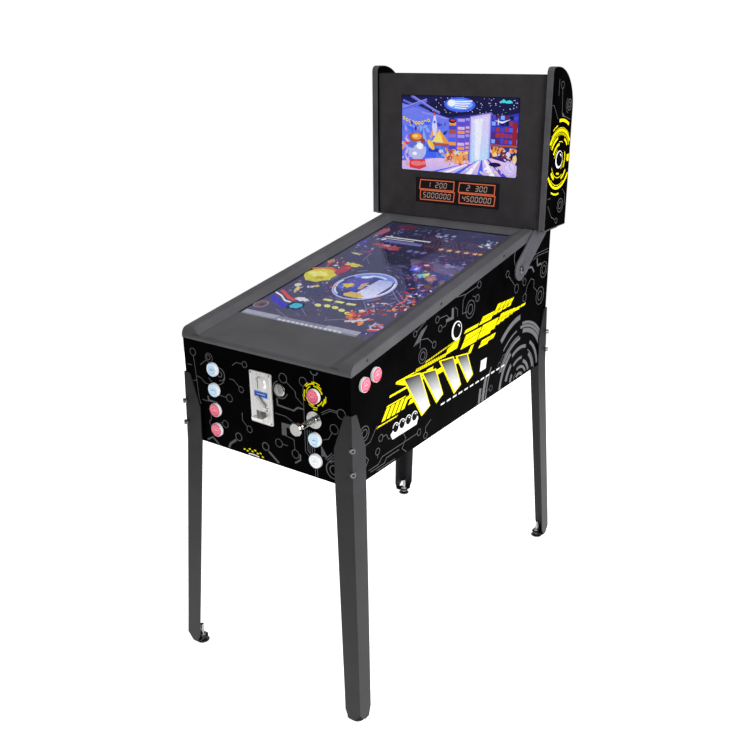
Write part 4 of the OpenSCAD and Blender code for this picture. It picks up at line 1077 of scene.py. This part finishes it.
# Right: shelves of boxes, a cushion of warm things and a dial
for i in range(6):
    for k in range(5):
        attic += inked(dice.choice([ROYAL, INDIGO, tone(96, 40, 96), SKY, tone(170, 50, 60), NIGHT]),
            block(108 + 13.5 * i, -16 + 16 * k, 119 + 13.5 * i, -4 + 16 * k + dice.uniform(-3, 2)))
attic += inked(SNOW, patch((116, 46), (140, 38), (166, 50), (140, 43)), stroke(2, (128, 34), (128, 50)))
attic += inked(tone(150, 32, 44), block(172, -20, 186, 42)) + inked(RUST, block(106, -24, 188, -19))
attic += inked(AMBER, block(106, -40, 130, -25), disc(176, -34, 12, 7))
attic += inked(tone(236, 150, 90), disc(140, -36, 12, 10))
attic += inked(tone(120, 44, 40), disc(146, -44, 9, 12))
attic += inked(GOLD, disc(120, -46, 8, 6), disc(182, -56, 6, 12))
attic += inked(PALE, disc(162, -46, 7, 9)) + inked(NIGHT, disc(122, -74, 19, 6))
attic += inked(tone(222, 206, 246), disc(168, -80, 19, 20))
attic += inked(LILAC, ring(168, -80, 15, 16.5), stroke(2, (168, -80), (168, -68)),
    stroke(2, (168, -80), (177, -85)))
attic += scatter(dice, 24, 104, -66, 186, -28, 2, 6, [AMBER, ROSE, RUST, PALE, NIGHT])
attic += scatter(dice, 16, 30, -100, 150, -84, 2, 5, [ROSE, GOLD, SNOW])
edge = 190.8
attic += inked(INK_BLACK, block(-edge, -107.3, edge, -105.9), block(-edge, 106.2, edge, 107.3),
    block(-edge, -107, -188.8, 107), block(189.6, -107, edge, 107))
for sx in (-1, 1):
    for sz in (-1, 1):
        bend = [(sx * (189.5 - 6 + 6 * math.cos(a)), sz * (106.5 - 6 + 6 * math.sin(a)))
            for a in [math.pi / 2 * i / 6 for i in range(7)]]
        attic += inked(INK_BLACK, patch((sx * 190.5, sz * 107.2), *bend))
attic_glow = lit_picture("attic_glow", 1.0, 0.82, 5)
printed("attic_picture", upper_flat, attic, attic_glow, "backbox", step=0.003)

# ---- Score display ----
# A dark window under the picture with four lit boxes, each with the seven bar figures of a score.

SCORE_EDGE, SCORE_FIGURE = tone(226, 128, 84), tone(196, 160, 146)
SEGMENTS = {"0": "abcdef", "1": "bc", "2": "abged", "3": "abgcd", "4": "fgbc", "5": "afgcd"}


def figure(number, u, v, wide, high):
    """One figure of up to seven leaning bars."""
    lean = 0.16
    trim = 0.9                # gap at the end of each bar
    x, y = (0, wide), (0, high / 2, high)
    ends = {"a": ((x[0], y[2]), (x[1], y[2])), "b": ((x[1], y[1]), (x[1], y[2])),
        "c": ((x[1], y[0]), (x[1], y[1])), "d": ((x[0], y[0]), (x[1], y[0])),
        "e": ((x[0], y[0]), (x[0], y[1])), "f": ((x[0], y[1]), (x[0], y[2])),
        "g": ((x[0], y[1]), (x[1], y[1]))}
    bars = []
    for name in SEGMENTS[number]:
        (x0, y0), (x1, y1) = ends[name]
        dx, dy = (trim, 0) if y0 == y1 else (0, trim)
        bars.append(stroke(1.6, (u + x0 + dx + lean * (y0 + dy), v + y0 + dy),
            (u + x1 - dx + lean * (y1 - dy), v + y1 - dy)))
    return bars


score_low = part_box("score_display")[0]
score_flat = Flat((0, score_low.y, 0), (1, 0, 0), (0, 0, 1), (0, -1, 0))
score_art = inked(tone(14, 12, 14), block(-139, 1089, 139, 1161))
for left, score in ((-123, "5000000"), (10, "4500000")):
    for row, low in enumerate((1129, 1098)):
        lean = (3, 0)[row]
        outline = [(left - lean, low - 1), (left + 114, low), (left + 117 - lean / 2, low + 27),
            (left + 1, low + 26 + row), (left - lean, low - 1)]
        score_art += inked(tone(156, 50, 28), stroke(4, *outline)) + inked(SCORE_EDGE, stroke(1.5, *outline))
        figures = score if row else " 1 200" if left < 0 else " 2 300"
        for i, number in enumerate(figures):
            if number != " ":
                score_art += inked(SCORE_FIGURE, *figure(number, left + 10 + 14 * i, low + 6, 8.5, 14.5))
score_glow = lit_picture("score_glow", 0.95, 0.9, 4)
printed("score_picture", score_flat, score_art, score_glow, "backbox")

# ---- Hinge arms ----
# Two folded steel arms carry the backbox. Each turns on a shouldered bolt through the cabinet
# side, and has the same powder coat as the legs in a lighter grey.

arm_paint = finish("arm_paint", tone(76, 76, 82), tone(88, 88, 94), 50, (0.4, 0.5), 1.0, 0.06, {"IOR": 1.4})
dress(arm_paint, "hinge_arms")
ease(0.8, "hinge_arms")
